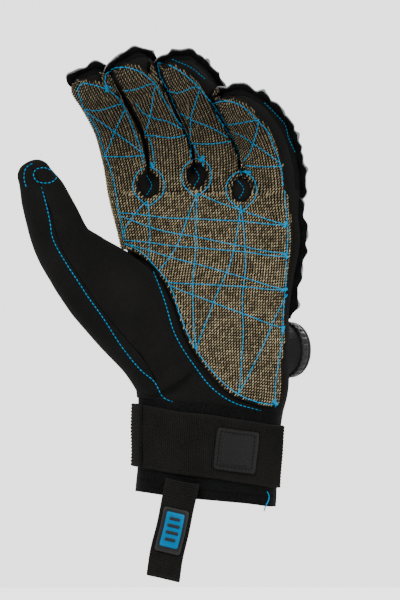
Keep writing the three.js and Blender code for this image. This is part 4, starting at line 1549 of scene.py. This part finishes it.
STITCH_RUNS: tuple[tuple[Dash, tuple[Line, ...]], ...] = (
    (Dash.ON_SUEDE, (
        ((-80, 150.3), (-76.1, 133.4), (-74.7, 125.1), (-68.9, 113.5), (-60.1, 100.9), (-50.9, 88.3),
         (-42.2, 73.7), (-32, 61.1), (-25.7, 55.8), (-21.3, 48.5), (-16, 46.1)),
        ((-79.1, 159.6), (-82.9, 158.4), (-83.9, 155.7), (-82.2, 152.8), (-78.6, 152), (-74.7, 152.8),
         (-72.8, 155), (-75.2, 158.1), (-79.1, 159.6)),
        ((-84.4, 161.5), (-87.3, 159.6), (-88.3, 157.1), (-88.3, 153.3), (-87.3, 149.9)),
        ((-26.2, 109.6), (-20.9, 96), (-14.5, 77.6), (-6.8, 64), (1.9, 52.9), (13.1, 45.6), (29.1, 41.2)),
    )),
    (Dash.ON_KNIT, (
        ((-59.7, 200.8), (-62.1, 197.9), (-61.1, 193), (-59.2, 188.2), (-53.8, 179.4), (-49.5, 166.8),
         (-46.6, 158.6), (-43.6, 147.4), (-42.2, 137.7), (-40.3, 124.2)),
        ((-59.7, 200.8), (-54.3, 199.8), (-47.5, 197.4), (-42.2, 193)),
        ((-42.2, 193), (-39.8, 187.2), (-34.9, 174.6), (-31.5, 165.9), (-31, 161)),
        ((-59.2, 188.7), (-55.3, 187.9), (-51.4, 188.2), (-46.6, 189.4), (-41.2, 190.6)),
        ((-58.2, 187.2), (-51.9, 182.4), (-45.1, 177), (-37.8, 171.7), (-32, 166.8)),
        ((-40.3, 187.7), (-42.7, 182.4), (-45.1, 177), (-47, 171.7), (-49, 166.8)),
        ((-50.4, 165.4), (-40.3, 165.1), (-30.1, 165.4)),
        ((-49, 204.7), (-49, 200.3), (-47.5, 197.4)),
        ((-49, 204.7), (-45.1, 207.6), (-39.3, 208.1), (-32.5, 206.1), (-27.6, 202.7), (-24.7, 200.3)),
        ((-24.7, 200.3), (-21.3, 194), (-15.5, 184.3), (-10.2, 176.1), (-8.2, 167.3)),
        ((-47.5, 199.3), (-42.2, 197.6), (-36.9, 197.2), (-32, 198.4), (-27.6, 200.3), (-24.7, 200.3)),
        ((-25.2, 199.3), (-26.2, 192.5), (-27.6, 185.3), (-29.1, 180.4), (-30.6, 175.6)),
        ((-34.4, 191.1), (-31, 186.7), (-25.7, 183.8), (-19.4, 182.4), (-14.5, 179.9), (-10.7, 177.5)),
        ((-30.6, 175.6), (-25.2, 175.1), (-19.4, 174.6), (-14.5, 175.1), (-10.7, 176.1)),
        ((-28.6, 174.6), (-26.7, 169.8), (-25.7, 164.4), (-25.2, 160.5)),
        ((-23.8, 210.5), (-22.8, 205.2), (-18.4, 197.4), (-16, 190.6), (-11.6, 180.9), (-9.2, 172.2),
         (-8.2, 164.4)),
        ((-23.8, 210.5), (-19.4, 210), (-14.1, 207.6), (-9.7, 204.2), (-4.8, 199.8), (-2.9, 197.4)),
        ((-2.9, 197.4), (2.4, 190.6), (8.2, 181.9), (12.6, 172.2), (15, 162.5)),
        ((-18.4, 197.4), (-14.1, 196.4), (-10.2, 197.6), (-7.3, 198.8), (-2.9, 198.8)),
        ((-3.9, 197.4), (-5.8, 190.6), (-7.8, 183.8), (-8.2, 178), (-9.2, 172.2)),
        ((-12.6, 186.7), (-7.3, 183.3), (-1.9, 180.9), (2.9, 178.5), (7.8, 175.6), (11.6, 172.7)),
        ((-9.2, 172.2), (-4.4, 171.4), (1, 171.2), (6.3, 171.7), (11.6, 172.7)),
        ((-6.8, 171.2), (-4.8, 166.8), (-2.4, 163), (-1.5, 160)),
        ((2.9, 190.6), (4.8, 185.3), (9.2, 177.5), (14.1, 169.3), (16, 161), (16.5, 155.7)),
        ((2.9, 190.6), (9.7, 191.6), (16.5, 189.6), (23.8, 183.3)),
        ((23.8, 183.3), (29.1, 177.5), (32.5, 169.3), (35.4, 161), (36.9, 150.8)),
        ((7.3, 180.4), (11.2, 180.7), (15.5, 181.4), (20.4, 182.6), (25.2, 183.3)),
        ((24.7, 182.4), (23.8, 177), (22.3, 171.7), (20.4, 166.8), (17.5, 162.5)),
        ((10.7, 177.5), (16.5, 175.6), (22.3, 171.7), (28.6, 167.3), (34.9, 162.5)),
        ((16, 161), (22.8, 160.5), (29.6, 160.5), (36.4, 161)),
        ((-4.8, 147.4), (6.3, 142.6), (17, 138.7), (28.1, 135.3), (38.8, 131.9)),
        ((-42.2, 137.7), (-28.1, 136.3), (-5.3, 134.8), (18.4, 133.4), (38.8, 131.9)),
        ((-42.2, 136.3), (-28.1, 130.9), (-5.3, 126.1), (17.9, 121.2), (39.8, 117.9)),
        ((-40.3, 124.2), (-28.1, 123.2), (-5.3, 120.8), (18.4, 118.6), (39.8, 116.4)),
        ((-40.3, 122.7), (-28.1, 119.3), (-5.8, 113), (17.5, 106.2), (38.3, 100.4)),
        ((-18.9, 104.3), (-6.8, 103.3), (17.5, 101.8), (38.3, 100.4)),
        ((-17.9, 102.8), (-6.8, 98), (17.5, 88.8), (39.8, 81)),
        ((-28.6, 143.6), (-27.6, 136.3), (-28.1, 122.7), (-28.6, 115.9)),
        ((-29.1, 143.1), (-33.9, 137.7), (-39.8, 129.5), (-40.3, 124.6)),
        ((-4.8, 147.4), (-5.3, 127.6), (-6.8, 106.2), (-6.3, 84.9), (-5.3, 71.8)),
        ((-4.8, 147.4), (-9.2, 135.3), (-13.6, 124.6), (-18.9, 115.9), (-22.8, 110.6)),
        ((16.5, 141.6), (18.4, 121.2), (17.5, 98.9), (17.5, 77.6), (15, 50)),
        ((16.5, 141.6), (15, 130.9), (12.6, 118.8), (3.4, 94.1), (-5.3, 71.3)),
        ((38.8, 98.5), (31, 82.5), (24.7, 68.4), (15, 50)),
    )),
    (Dash.FINE, (
        ((-17, 212.6), (-8.2, 208.6), (-0.5, 202.6)),
        ((27.6, 191.5), (31, 188), (37.3, 180.9), (39.3, 174.1), (42.7, 166.8)),
        ((-29.5, 156), (-26.8, 151), (-29.2, 146)),
        ((-6.2, 160), (-3.6, 155), (-6, 150.8)),
        ((15, 153.5), (18.2, 149), (15.8, 144.2)),
    )),
    (Dash.ON_KNIT, (
        ((37.8, 148.9), (38.8, 132.4), (37.8, 107.7), (36.9, 84.9), (34.4, 65), (32.5, 53.8), (33, 43.7)),
        ((-40.3, 122.7), (-32, 118.3), (-25.2, 111.5), (-18.9, 104.3), (-13.6, 89.7), (-5.3, 71.3),
         (3.9, 58.7), (14.5, 50), (24.7, 45.9), (35, 45)),
    )),
)
BARTACKS = (((-48.5, 198.3), 1.6), ((-26.5, 160.8), 8.2), ((-2.5, 164.2), 10.4), ((20.0, 157.5), 12.6),
            ((37.8, 132.1), 13.7), ((37.8, 117.1), 14.8), ((37.0, 100.6), 15.9), ((36.8, 81.4), 17.0),
            ((32.6, 46.0), 18.1))


@dataclass
class Needle:
    """Sews thread on to whatever the eye sees first along each line."""

    maker: Maker
    tree: BVHTree
    eye: tuple[float, float, float] = (-3.4, -5000.0, 95.5)

    def seat(self, flat: np.ndarray) -> tuple[np.ndarray, np.ndarray, np.ndarray]:
        """Where places seen at y = 0 lie on the glove.

        Args:
            flat: x and z of each place.

        Returns:
            The places, the directions out of the surface, and which were found.
        """
        eye = Vector(self.eye)
        spots, outs = np.zeros((len(flat), 3)), np.tile(PALMWARD, (len(flat), 1))
        found = np.zeros(len(flat), bool)
        for i, (x, z) in enumerate(flat):
            way = (Vector((x, 0, z)) - eye).normalized()
            spot, normal, _, _ = self.tree.ray_cast(eye, way)
            if spot is not None:
                spots[i], outs[i], found[i] = spot, normal if normal.dot(way) < 0 else -normal, True
        return spots, outs, found

    @staticmethod
    def strands(paths: np.ndarray, outs: np.ndarray, radius: float, sides: int = 6) -> Shape:
        """Thin closed strands along short paths of the same number of points.

        Args:
            paths: points along each strand.
            outs: the direction out of the cloth at each point.
            radius: the thread's radius.
            sides: how many sides it has.

        Returns:
            All the strands as one shape.
        """
        count, steps, _ = paths.shape
        ahead = unit(np.gradient(paths, axis=1))
        side = unit(np.cross(ahead, outs))
        up = np.cross(side, ahead)
        taper = np.ones(steps)
        taper[[0, -1]] = 0.62
        angle = 2 * np.pi * np.arange(sides) / sides
        ring = (side[:, :, None] * np.cos(angle)[None, None, :, None]
                + up[:, :, None] * np.sin(angle)[None, None, :, None]) * (radius * taper)[None, :, None, None]
        body = (paths[:, :, None] + ring).reshape(count, steps * sides, 3)
        tips = np.stack([paths[:, 0] - ahead[:, 0] * radius * 0.6,
                         paths[:, -1] + ahead[:, -1] * radius * 0.6], axis=1)
        points = np.concatenate([body, tips], axis=1)
        return copies(points, tube_faces(steps, sides))

    def run(self, line: Line | np.ndarray, dash: Dash) -> list[Shape]:
        """A run of stitches along a line.

        Args:
            line: x and z of places along it.
            dash: how its stitches look.

        Returns:
            Its stitches.
        """
        long, gap, radius, lift = dash.value
        middles = spread(line, long + gap)
        fine = spread(line, 0.2)
        run = np.arange(len(fine)) * 0.2
        total = run[-1]
        count = max(len(middles) - 1, 1)
        starts = np.arange(count) * (total / count) + gap / 2
        pitch = total / count - gap
        shares = np.array([0.0, 0.3, 0.7, 1.0])
        at = starts[:, None] + shares[None, :] * pitch
        flat = sampled(at.ravel(), run, fine)
        spots, outs, found = self.seat(flat)
        rise = np.tile(np.array([-0.12, 1.0, 1.0, -0.12]) * lift, count)
        paths = (spots + outs * rise[:, None]).reshape(count, 4, 3)
        outs = outs.reshape(count, 4, 3)
        near = np.linalg.norm(paths[:, -1] - paths[:, 0], axis=1) < 2.2 * (long + gap)
        good = found.reshape(count, 4).all(axis=1) & near
        return [self.strands(paths[good], outs[good], radius)] if good.any() else []

    def tack(self, spot: tuple[float, float], turn: float) -> Shape:
        """A bartack: a short dense zigzag of thread.

        Args:
            spot: x and z of its middle.
            turn: the way that it lies, in radians.

        Returns:
            Its thread.
        """
        steps = np.linspace(-1.5, 1.5, 15)
        swing = 0.7 * (-1.0) ** np.arange(15)
        c, s = math.cos(turn), math.sin(turn)
        line = np.stack([spot[0] + steps * c - swing * s, spot[1] + steps * s + swing * c], axis=1)
        spots, outs, _ = self.seat(line)
        pairs = np.stack([spots[:-1] + outs[:-1] * 0.4, spots[1:] + outs[1:] * 0.4], axis=1)
        middle = pairs.mean(axis=1, keepdims=True) + outs[:-1, None] * 0.2
        paths = np.concatenate([pairs[:, :1], middle, pairs[:, 1:]], axis=1)
        return self.strands(paths, np.repeat(outs[:-1, None], 3, axis=1), 0.3)

    def hem(self) -> None:
        """Makes the zigzag along the cuff's hem and the loose end of thread at its right."""
        middle = spread(((-33.0, 8.9), (-3.0, 3.5), (15.0, 1.6), (32.0, 0.2)), 0.85)
        middle[:, 1] += 0.75 * (-1.0) ** np.arange(len(middle))
        spots, outs, found = self.seat(middle)
        pairs = np.stack([spots[:-1], (spots[:-1] + spots[1:]) / 2, spots[1:]], axis=1)
        good = found[:-1] & found[1:]
        pairs = pairs + outs[:-1, None] * np.array([0.0, 0.16, 0.0])[None, :, None]
        zigzag = self.strands(pairs[good], np.repeat(outs[:-1, None], 3, axis=1)[good], 0.17)
        self.maker.piece("hem_zigzag", zigzag, "black", sharp=180.0)
        seats = self.seat(np.array([(28.8, 3.0), (29.6, 0.8)]))[0] - (0, 0.3, 0)
        fall = seats[1] + np.array([(-0.3, -0.5, -2.2), (-1.5, -0.8, -4.6), (-2.2, -0.6, -7.4)])
        tail = spread(np.concatenate([seats, fall]), 0.6)
        outs = np.tile(PALMWARD, (1, len(tail), 1))
        self.maker.piece("thread_tail", self.strands(tail[None], outs, 0.3), "blue", sharp=180.0)

    def make(self) -> None:
        """Makes the blue stitching of the hand."""
        sewn: list[Shape] = []
        for dash, lines in STITCH_RUNS:
            for line in lines:
                sewn += self.run(line, dash)
        for fork in FORKS:
            ring = fork.ring(2.6, 12)
            ring[9] += (0.0, -1.6)
            sewn += self.run(np.concatenate([ring, ring[:1]]), Dash.ON_KNIT)
        sewn += [self.tack(spot, turn) for spot, turn in BARTACKS]
        self.maker.piece("blue_stitches", Shape.gathered(sewn), "blue", sharp=180.0)


@dataclass
class Wrist:
    """The cuff, the strap and its end, and the patch."""

    maker: Maker
    bench: Bench
    wall: float = 3.0
    gap: float = 0.3
    web: float = 1.4
    patch_size: float = 20.4
    patch_seam: float = 1.85
    patch_at: tuple[float, float] = (14.2, 22.6)
    patch_tilt: float = 6.6
    strap_middle: float = 24.8
    strap_width: float = 30.6
    strap_tilt: float = 8.2
    rib_pitch: float = 1.05
    row_pitch: float = 1.6
    rib_height: float = 0.5
    form: Limb = field(default_factory=lambda: Limb(
        ((-1.8, 1, -8, 68.5, 47.6, 9.2), (-1.0, 1, -1, 68.5, 48, 9), (0.6, 1, 20, 68.4, 49, 8.5),
         (1.6, 1, 43, 71, 50, 7), (2.1, 1, 52, 72.4, 50.4, 6.4)), 0, 2.4, 0, True, 150, 31))

    def cuff(self) -> Shape:
        """The neoprene band, open below."""
        band = slanted_band(-1.0, WRIST_LINE + 0.7, WRIST_TILT)
        return self.bench.work(self.form.solid(), [(Operation.CUT, self.form.solid(-self.wall)),
                                                   (Operation.KEEP, band)])

    def wrapped(self, angles: np.ndarray, levels: np.ndarray, grow: np.ndarray) -> np.ndarray:
        """Points round the cuff.

        Args:
            angles: angles round it, a column each.
            levels: heights at x = 0 in the strap's slant, a row each.
            grow: distances out from the cuff, by row and column.

        Returns:
            The points, by row and column.
        """
        held = self.form.sections()
        tilt = math.tan(math.radians(self.strap_tilt))
        bend_x, bend_y = squared(np.cos(angles), self.form.power), squared(np.sin(angles), self.form.power)
        found = np.zeros((len(levels), len(angles), 3))
        flat = np.zeros((len(held.centre), len(angles)))
        near, far = (held.place((held.half_wide + step)[:, None] * bend_x,
                                (held.half_thick + step)[:, None] * bend_y, flat) for step in (0, 1))
        out = far - near
        for j in range(len(angles)):
            key = near[:, j, 2] + tilt * near[:, j, 0]
            spot, way = (sampled(levels, key, rows[:, j]) for rows in (near, out))
            found[:, j] = spot + way * grow[:, j][:, None]
        return found

    def webbing(self, start: float, stop: float, low: float, closed: bool, upright: bool) -> Shape:
        """A ribbed length of webbing round the cuff.

        Args:
            start: the angle at which it starts.
            stop: the angle at which it ends.
            low: how far out its underside is.
            closed: whether it goes all round.
            upright: whether the ribs stand up the strap or lie along it.

        Returns:
            The webbing.
        """
        fine = np.linspace(0, 2 * np.pi, 2000)
        rim = self.wrapped(fine, np.array([self.strap_middle]), np.full((1, 2000), low + self.web))[0]
        run = run_along(rim)
        first, last = np.interp([start, stop], fine, run)
        count = int((last - first) / self.rib_pitch) * 4
        at = np.linspace(first, last, count, endpoint=not closed)
        angles = np.interp(at, run, fine)
        half = self.strap_width / 2
        share = np.array([-1, -0.985, -0.95, *np.linspace(-0.9, 0.9, 68), 0.95, 0.985, 1])
        levels = self.strap_middle + share * half
        edge = np.array([0.45, 0.85, 1.0, *np.ones(68), 1.0, 0.85, 0.45])
        beat = 0.5 + 0.5 * np.cos(2 * np.pi * at / self.rib_pitch)
        rows = 0.5 + 0.5 * np.cos(2 * np.pi * share * half / self.row_pitch)
        flutter = 0.10 * np.sin(at / 7.0)[None, :] * np.abs(share)[:, None]
        if upright:
            rib = self.rib_height * beat[None, :] * (0.5 + 0.5 * rows[:, None])
        else:
            rib = self.rib_height * rows[:, None] * (0.5 + 0.5 * beat[None, :])
        outer = low + (self.web + rib - 0.28) * edge[:, None] + flutter
        inner = np.full((3, count), low) + 0.02
        loop = np.concatenate([
            self.wrapped(angles, levels, outer),
            self.wrapped(angles, self.strap_middle + np.array([1.0, 0, -1.0]) * half, inner),
        ])
        rings = np.transpose(loop, (1, 0, 2))
        if not closed:
            return loft(rings)
        size = rings.shape[1]
        faces = grid_faces(count + 1, size)
        return Shape(rings.reshape(-1, 3), faces % (count * size)).outward()

    def make(self) -> BVHTree:
        """Makes the wrist's pieces.

        Returns:
            A search tree over what a seam can be sewn on.
        """
        cuff = self.cuff()
        self.maker.piece("cuff_band", cuff, "neoprene", "cuff")
        strap = self.webbing(0, 2 * math.pi, self.gap, True, True)
        self.maker.piece("strap_webbing", strap, "webbing", "wrist_strap")
        low = self.gap + self.web + self.gap
        end = self.webbing(math.radians(150), math.radians(215), low, False, False)
        self.maker.piece("strap_end_webbing", end, "webbing", "strap_end")
        self.patch(strap.tree())
        return Shape.gathered([cuff, strap, end]).tree()

    def patch(self, tree: BVHTree) -> None:
        """Makes the leather patch with its raised middle and its stitches.

        Args:
            tree: a search tree of the strap.
        """
        levels = ((0.0, 0.0), (0.0, 0.85), (0.25, 1.15), (0.7, 1.3), (1.45, 1.28), (1.85, 1.08), (2.25, 1.28),
                  (3.15, 1.30), (3.3, 1.55), (3.6, 1.68), (4.2, 1.70), (6.5, 1.72), (8.8, 1.72))
        shaped = []
        for inset, high in levels:
            row = []
            for x, z in self.patch_ring(inset):
                spot, _, _, _ = tree.ray_cast(Vector((x, -200, z)), Vector((0, 1, 0)))
                row.append(np.array(spot) * (1, 0, 1) + (0, self.smooth_depth(x, z) - high, 0))
            shaped.append(row)
        self.maker.piece("patch_leather", loft(np.array(shaped)), "leather", "patch", 60.0)
        line = self.patch_ring(self.patch_seam)
        line = spread(np.concatenate([line, line[:1]]), 0.9)
        spots = np.array([(x, self.smooth_depth(x, z) - 1.25, z) for x, z in line])
        paths = np.stack([spots[:-1:2], (spots[:-1:2] + spots[1::2]) / 2 - (0, 0.12, 0), spots[1::2]], axis=1)
        outs = np.tile(PALMWARD, (len(paths), 3, 1))
        self.maker.piece("patch_stitches", Needle.strands(paths, outs, 0.2), "black", sharp=180.0)

    def patch_ring(self, inset: float) -> np.ndarray:
        """The patch's outline on the strap, set in by a distance.

        Args:
            inset: the distance.

        Returns:
            Its points.
        """
        ring, turn = plate_ring(self.patch_size, self.patch_size, 1.4, inset), math.radians(self.patch_tilt)
        c, s = math.cos(turn), math.sin(turn)
        return np.array(self.patch_at) + ring @ np.array([[c, -s], [s, c]])

    def smooth_depth(self, x: float, z: float) -> float:
        """The depth of the strap's face at a place, without its ribs.

        Args:
            x: the place's x.
            z: the place's z.

        Returns:
            The depth.
        """
        held = self.form.sections()
        grow = self.gap + self.web + 0.18
        i = int(np.argmin(np.abs(held.centre[:, 2] - z)))
        across = abs(x - held.centre[i, 0]) / (held.half_wide[i] + grow)
        rise = (1 - min(across, 1) ** self.form.power) ** (1 / self.form.power)
        return held.centre[i, 1] - (held.half_thick[i] + grow) * rise


def plate_ring(width: float, height: float, corner: float, inset: float) -> np.ndarray:
    """A rounded rectangle of 48 points, set in by a distance.

    Args:
        width: its width.
        height: its height.
        corner: the radius of its corners.
        inset: how far it is set in.

    Returns:
        Its points.
    """
    w, h = width / 2 - inset, height / 2 - inset
    r = max(min(corner - 0.4 * inset, w * 0.9, h * 0.9), 0.25)
    points = []
    for cx, cy, turn in ((w - r, h - r, 0), (-w + r, h - r, 90), (-w + r, -h + r, 180), (w - r, -h + r, 270)):
        for k in range(6):
            angle = math.radians(turn + 18 * k)
            points.append((cx + r * math.cos(angle), cy + r * math.sin(angle)))
        (x, y), ahead = points[-1], math.radians(turn + 180)
        span = 2 * (w - r) if turn in (0, 180) else 2 * (h - r)
        c, s = math.cos(ahead) * span / 7, math.sin(ahead) * span / 7
        points += [(x + c * k, y + s * k) for k in range(1, 7)]
    return np.array(points)


@dataclass
class PullTab:
    """The folded webbing tab with its rubber label."""

    maker: Maker
    top: tuple[float, float, float] = (-12.0, -25.15, 8.2)
    lean: float = 11.3
    length: float = 48.0
    width: float = 16.2
    sheet: float = 1.4
    slot: float = 0.9
    rib_pitch: float = 1.07

    def placed(self, local: np.ndarray) -> np.ndarray:
        """Points of the tab's own directions put where the tab hangs.

        Args:
            local: the points in the tab's directions.

        Returns:
            The points on the glove.
        """
        turn = math.radians(self.lean)
        x, y, z = local[..., 0], local[..., 1], local[..., 2]
        c, s = math.cos(turn), math.sin(turn)
        return np.stack([x * c + z * s, y, -x * s + z * c], axis=-1) + np.array(self.top)

    def webbing(self) -> Shape:
        """The webbing, folded in two, ribbed across.

        Returns:
            The webbing.
        """
        outer = self.sheet + self.slot / 2
        middle = (outer + self.slot / 2) / 2
        down = self.length - outer
        bend = math.pi * middle
        run = np.arange(0, 2 * down + bend, 0.265)
        back, arc = run < down, (run >= down) & (run < down + bend)
        angle = np.clip((run - down) / middle, 0, math.pi)
        y = np.where(back, middle, np.where(arc, middle * np.cos(angle), -middle))
        z = np.where(back, -run, np.where(arc, -down - middle * np.sin(angle), -(2 * down + bend - run)))
        out_y = np.where(back, 1.0, np.where(arc, np.cos(angle), -1.0))
        out_z = np.where(arc, -np.sin(angle), 0.0)
        rib = 0.5 + 0.5 * np.cos(2 * np.pi * run / self.rib_pitch)
        share = np.array([-1, -0.97, -0.9, -0.6, -0.3, 0, 0.3, 0.6, 0.9, 0.97, 1])
        edge = np.array([0.2, 0.75, 1, 1, 1, 1, 1, 1, 1, 0.75, 0.2])
        half = self.sheet / 2
        loop = []
        for s, e in zip(share, edge):
            high = (half + 0.42 * rib - 0.18) * e
            side = np.full(len(run), s * self.width / 2)
            if abs(s) > 0.95:
                side = side + 0.12 * rib * np.sign(s)
            loop.append(np.stack([side, y + out_y * high, z + out_z * high], axis=1))
        for s, e in zip(share[::-1], edge[::-1]):
            side = np.full(len(run), s * self.width / 2)
            loop.append(np.stack([side, y - out_y * half * e, z - out_z * half * e], axis=1))
        return loft(np.transpose(np.array(loop), (1, 0, 2)))

    def plate(self, width: float, height: float, corner: float, down: float, near: float,
              levels: Line) -> Shape:
        """A rounded plate on the tab's face.

        Args:
            width: its width.
            height: its height.
            corner: the radius of its corners.
            down: how far its middle is below the tab's top.
            near: the depth that its underside lies at.
            levels: insets and heights from its underside up to its face.

        Returns:
            The plate.
        """
        rings = []
        for inset, high in levels:
            ring = plate_ring(width, height, corner, inset)
            rings.append(np.stack([ring[:, 0], np.full(len(ring), near - high), ring[:, 1] - down], axis=1))
        return loft(np.array(rings))

    def make(self) -> None:
        """Makes the tab and its label."""
        face = -self.sheet - self.slot / 2 - 0.12
        rubber = ((0, 0), (0, 0.75), (0.3, 1.05), (0.9, 1.1), (1.15, 0.9), (1.5, 0.9), (4.5, 0.9))
        blue = ((0, 0), (0, 0.5), (0.25, 0.75), (0.8, 0.8), (2.0, 0.8), (3.4, 0.8))
        bar = ((0, 0), (0, 0.25), (0.25, 0.42), (0.5, 0.45))
        bars = [self.plate(half * 2, 1.5, 0.6, 18.6 + 3.4 * row, face - 1.6, bar)
                for row, half in enumerate((2.6, 3.1, 3.1, 2.6))]
        for name, shape, finish, node, sharp in (
            ("tab_webbing", self.webbing(), "webbing", "pull_tab", 40.0),
            ("label_rubber", self.plate(12.6, 21.8, 1.4, 24.4, face, rubber), "rubber", "label_plate", 60.0),
            ("label_blue_inset", self.plate(8.9, 17.0, 1.0, 24.0, face - 0.85, blue), "blue_rubber",
             "label_inset", 60.0),
            ("label_ribs", Shape.gathered(bars), "rubber", "", 60.0),
        ):
            self.maker.piece(name, Shape(self.placed(shape.points), shape.faces), finish, node, sharp)


@dataclass
class Dial:
    """The closure dial: a ribbed rubber knob over the housing and the steel spindle."""

    maker: Maker
    frame: dict[str, object]
    seat: tuple[float, float, float] = (35.6, 11.4, 71.3)
    turn: float = 48.0
    ribs: int = 26
    rib_depth: float = 0.6
    steps: int = 312

    def knob(self) -> Shape:
        """The knob, turned about the dial's axis, with grip ribs.

        Returns:
            The knob.
        """
        profile = np.array([
            (3.3, 7), (7, 7), (10.4, 7), (10.4, 4.5), (10.4, 2.6), (12.6, 2.6), (13.3, 2.75), (13.7, 3.1),
            (13.8, 3.5), (13.8, 4.2), (13.8, 5.2), (13.7, 6.1), (13.4, 6.45), (12.9, 6.6), (12.8, 6.9),
            (13.2, 7.1), (13.4, 7.6), (13.2, 8.2), (12.7, 8.6), (12, 8.8), (11.2, 8.75), (10.7, 8.45),
            (10, 8.3), (8, 8.4), (5.5, 8.5), (4, 8.45), (3.3, 8.2),
        ])
        angle = 2 * np.pi * np.arange(self.steps) / self.steps
        grip = 0.5 - 0.5 * np.cos(self.ribs * angle)
        body = np.clip(1 - np.abs(profile[:, 1] - 4.3) / 2.1, 0, 1) ** 0.5 * (profile[:, 0] > 13)
        radius = profile[:, 0][None, :] - self.rib_depth * (grip**2)[:, None] * body[None, :]
        local = np.stack([radius * np.cos(angle)[:, None], radius * np.sin(angle)[:, None],
                          np.tile(profile[:, 1], (self.steps, 1))], axis=-1)
        way = math.radians(self.turn)
        axis = Vector((math.sin(way), math.cos(way), 0))
        spin = np.array(Vector((0, 0, 1)).rotation_difference(axis).to_matrix())
        points = local.reshape(-1, 3) @ spin.T + np.array(self.seat)
        size = len(profile)
        return Shape(points, grid_faces(self.steps + 1, size) % (self.steps * size)).outward()

    def make(self) -> None:
        """Makes the knob and dresses the housing and the spindle."""
        self.maker.piece("ribbed_knob", self.knob(), "rubber", "dial_knob", 50.0, CAP_BODY)
        for node, finish in (("dial_housing", "plastic"), ("dial_hub", "plastic"), ("dial_spindle", "steel")):
            mesh = self.frame["nodes"][node].data
            mesh.materials.clear()
            mesh.materials.append(self.maker.finishes[finish])


@dataclass
class Studio:
    """Floor, lights and camera, at the photograph's angle."""

    eye: tuple[float, float, float] = (-0.0034, -5.0, 0.0955)
    seen_height: float = 0.291
    floor_height: float = -0.0605

    def make(self) -> None:
        """Makes the studio."""
        world = bpy.data.worlds.new("studio")
        bpy.context.scene.world = world
        world.use_nodes = True
        world.node_tree.nodes["Background"].inputs["Color"].default_value = (1, 1, 1, 1)
        world.node_tree.nodes["Background"].inputs["Strength"].default_value = 2.4
        self.floor()
        self.light("key", (-0.8, -1.4, 1.4), 0.8, 54.0)
        self.light("fill", (1.4, -1.1, 0.4), 0.8, 18.0)
        self.light("rim", (0.9, 1.2, 1.2), 0.7, 24.0)
        data = bpy.data.cameras.new("camera")
        data.sensor_fit = "VERTICAL"
        data.sensor_height = 36.0
        data.lens = 36.0 * abs(self.eye[1]) / self.seen_height
        data.clip_end = 100.0
        camera = linked("camera", data)
        camera.location = self.eye
        camera.rotation_euler = (math.pi / 2, 0, 0)
        bpy.context.scene.camera = camera

    def floor(self) -> None:
        """Makes the pale floor below the glove."""
        angle = 2 * np.pi * np.arange(96) / 96
        points = np.stack([0.6 * np.cos(angle), 0.6 * np.sin(angle), np.full(96, self.floor_height)], axis=1)
        mesh = bpy.data.meshes.new("floor")
        mesh.from_pydata(points.tolist(), [], [list(range(96))])
        s = Shader("pale_floor", {"Roughness": 0.9})
        s.feed("Base Color", s.mixed(s.noise(3.0), (0.78, 0.78, 0.78, 1), (0.82, 0.82, 0.82, 1)))
        mesh.materials.append(s.material)
        floor = linked("floor", mesh)

    def light(self, name: str, place: tuple[float, float, float], size: float, power: float) -> None:
        """Makes a soft square light that faces the glove.

        Args:
            name: its name.
            place: where it stands.
            size: its width.
            power: its power in watts.
        """
        data = bpy.data.lights.new(name, "AREA")
        data.size = size
        data.energy = power
        lamp = linked(name, data)
        lamp.location = place
        way = Vector((-0.01, 0, 0.1)) - Vector(place)
        lamp.rotation_euler = way.to_track_quat("-Z", "Y").to_euler()


def main() -> None:
    """Builds the glove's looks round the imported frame."""
    logging.basicConfig(level=logging.INFO, format="%(message)s")
    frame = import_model()
    Studio().make()
    maker = Maker(Finishes())
    bench = Bench()
    knit, seen = HandPanels(maker, bench).make()
    Loops(maker, knit).make()
    edges = SeamEdges(maker).make()
    Needle(maker, Shape.gathered([seen, *edges]).tree()).make()
    Needle(maker, Wrist(maker, bench).make()).hem()
    PullTab(maker).make()
    Dial(maker, frame).make()
    LOG.info("%d triangles in all", maker.made)


if __name__ == "__main__":
    main()
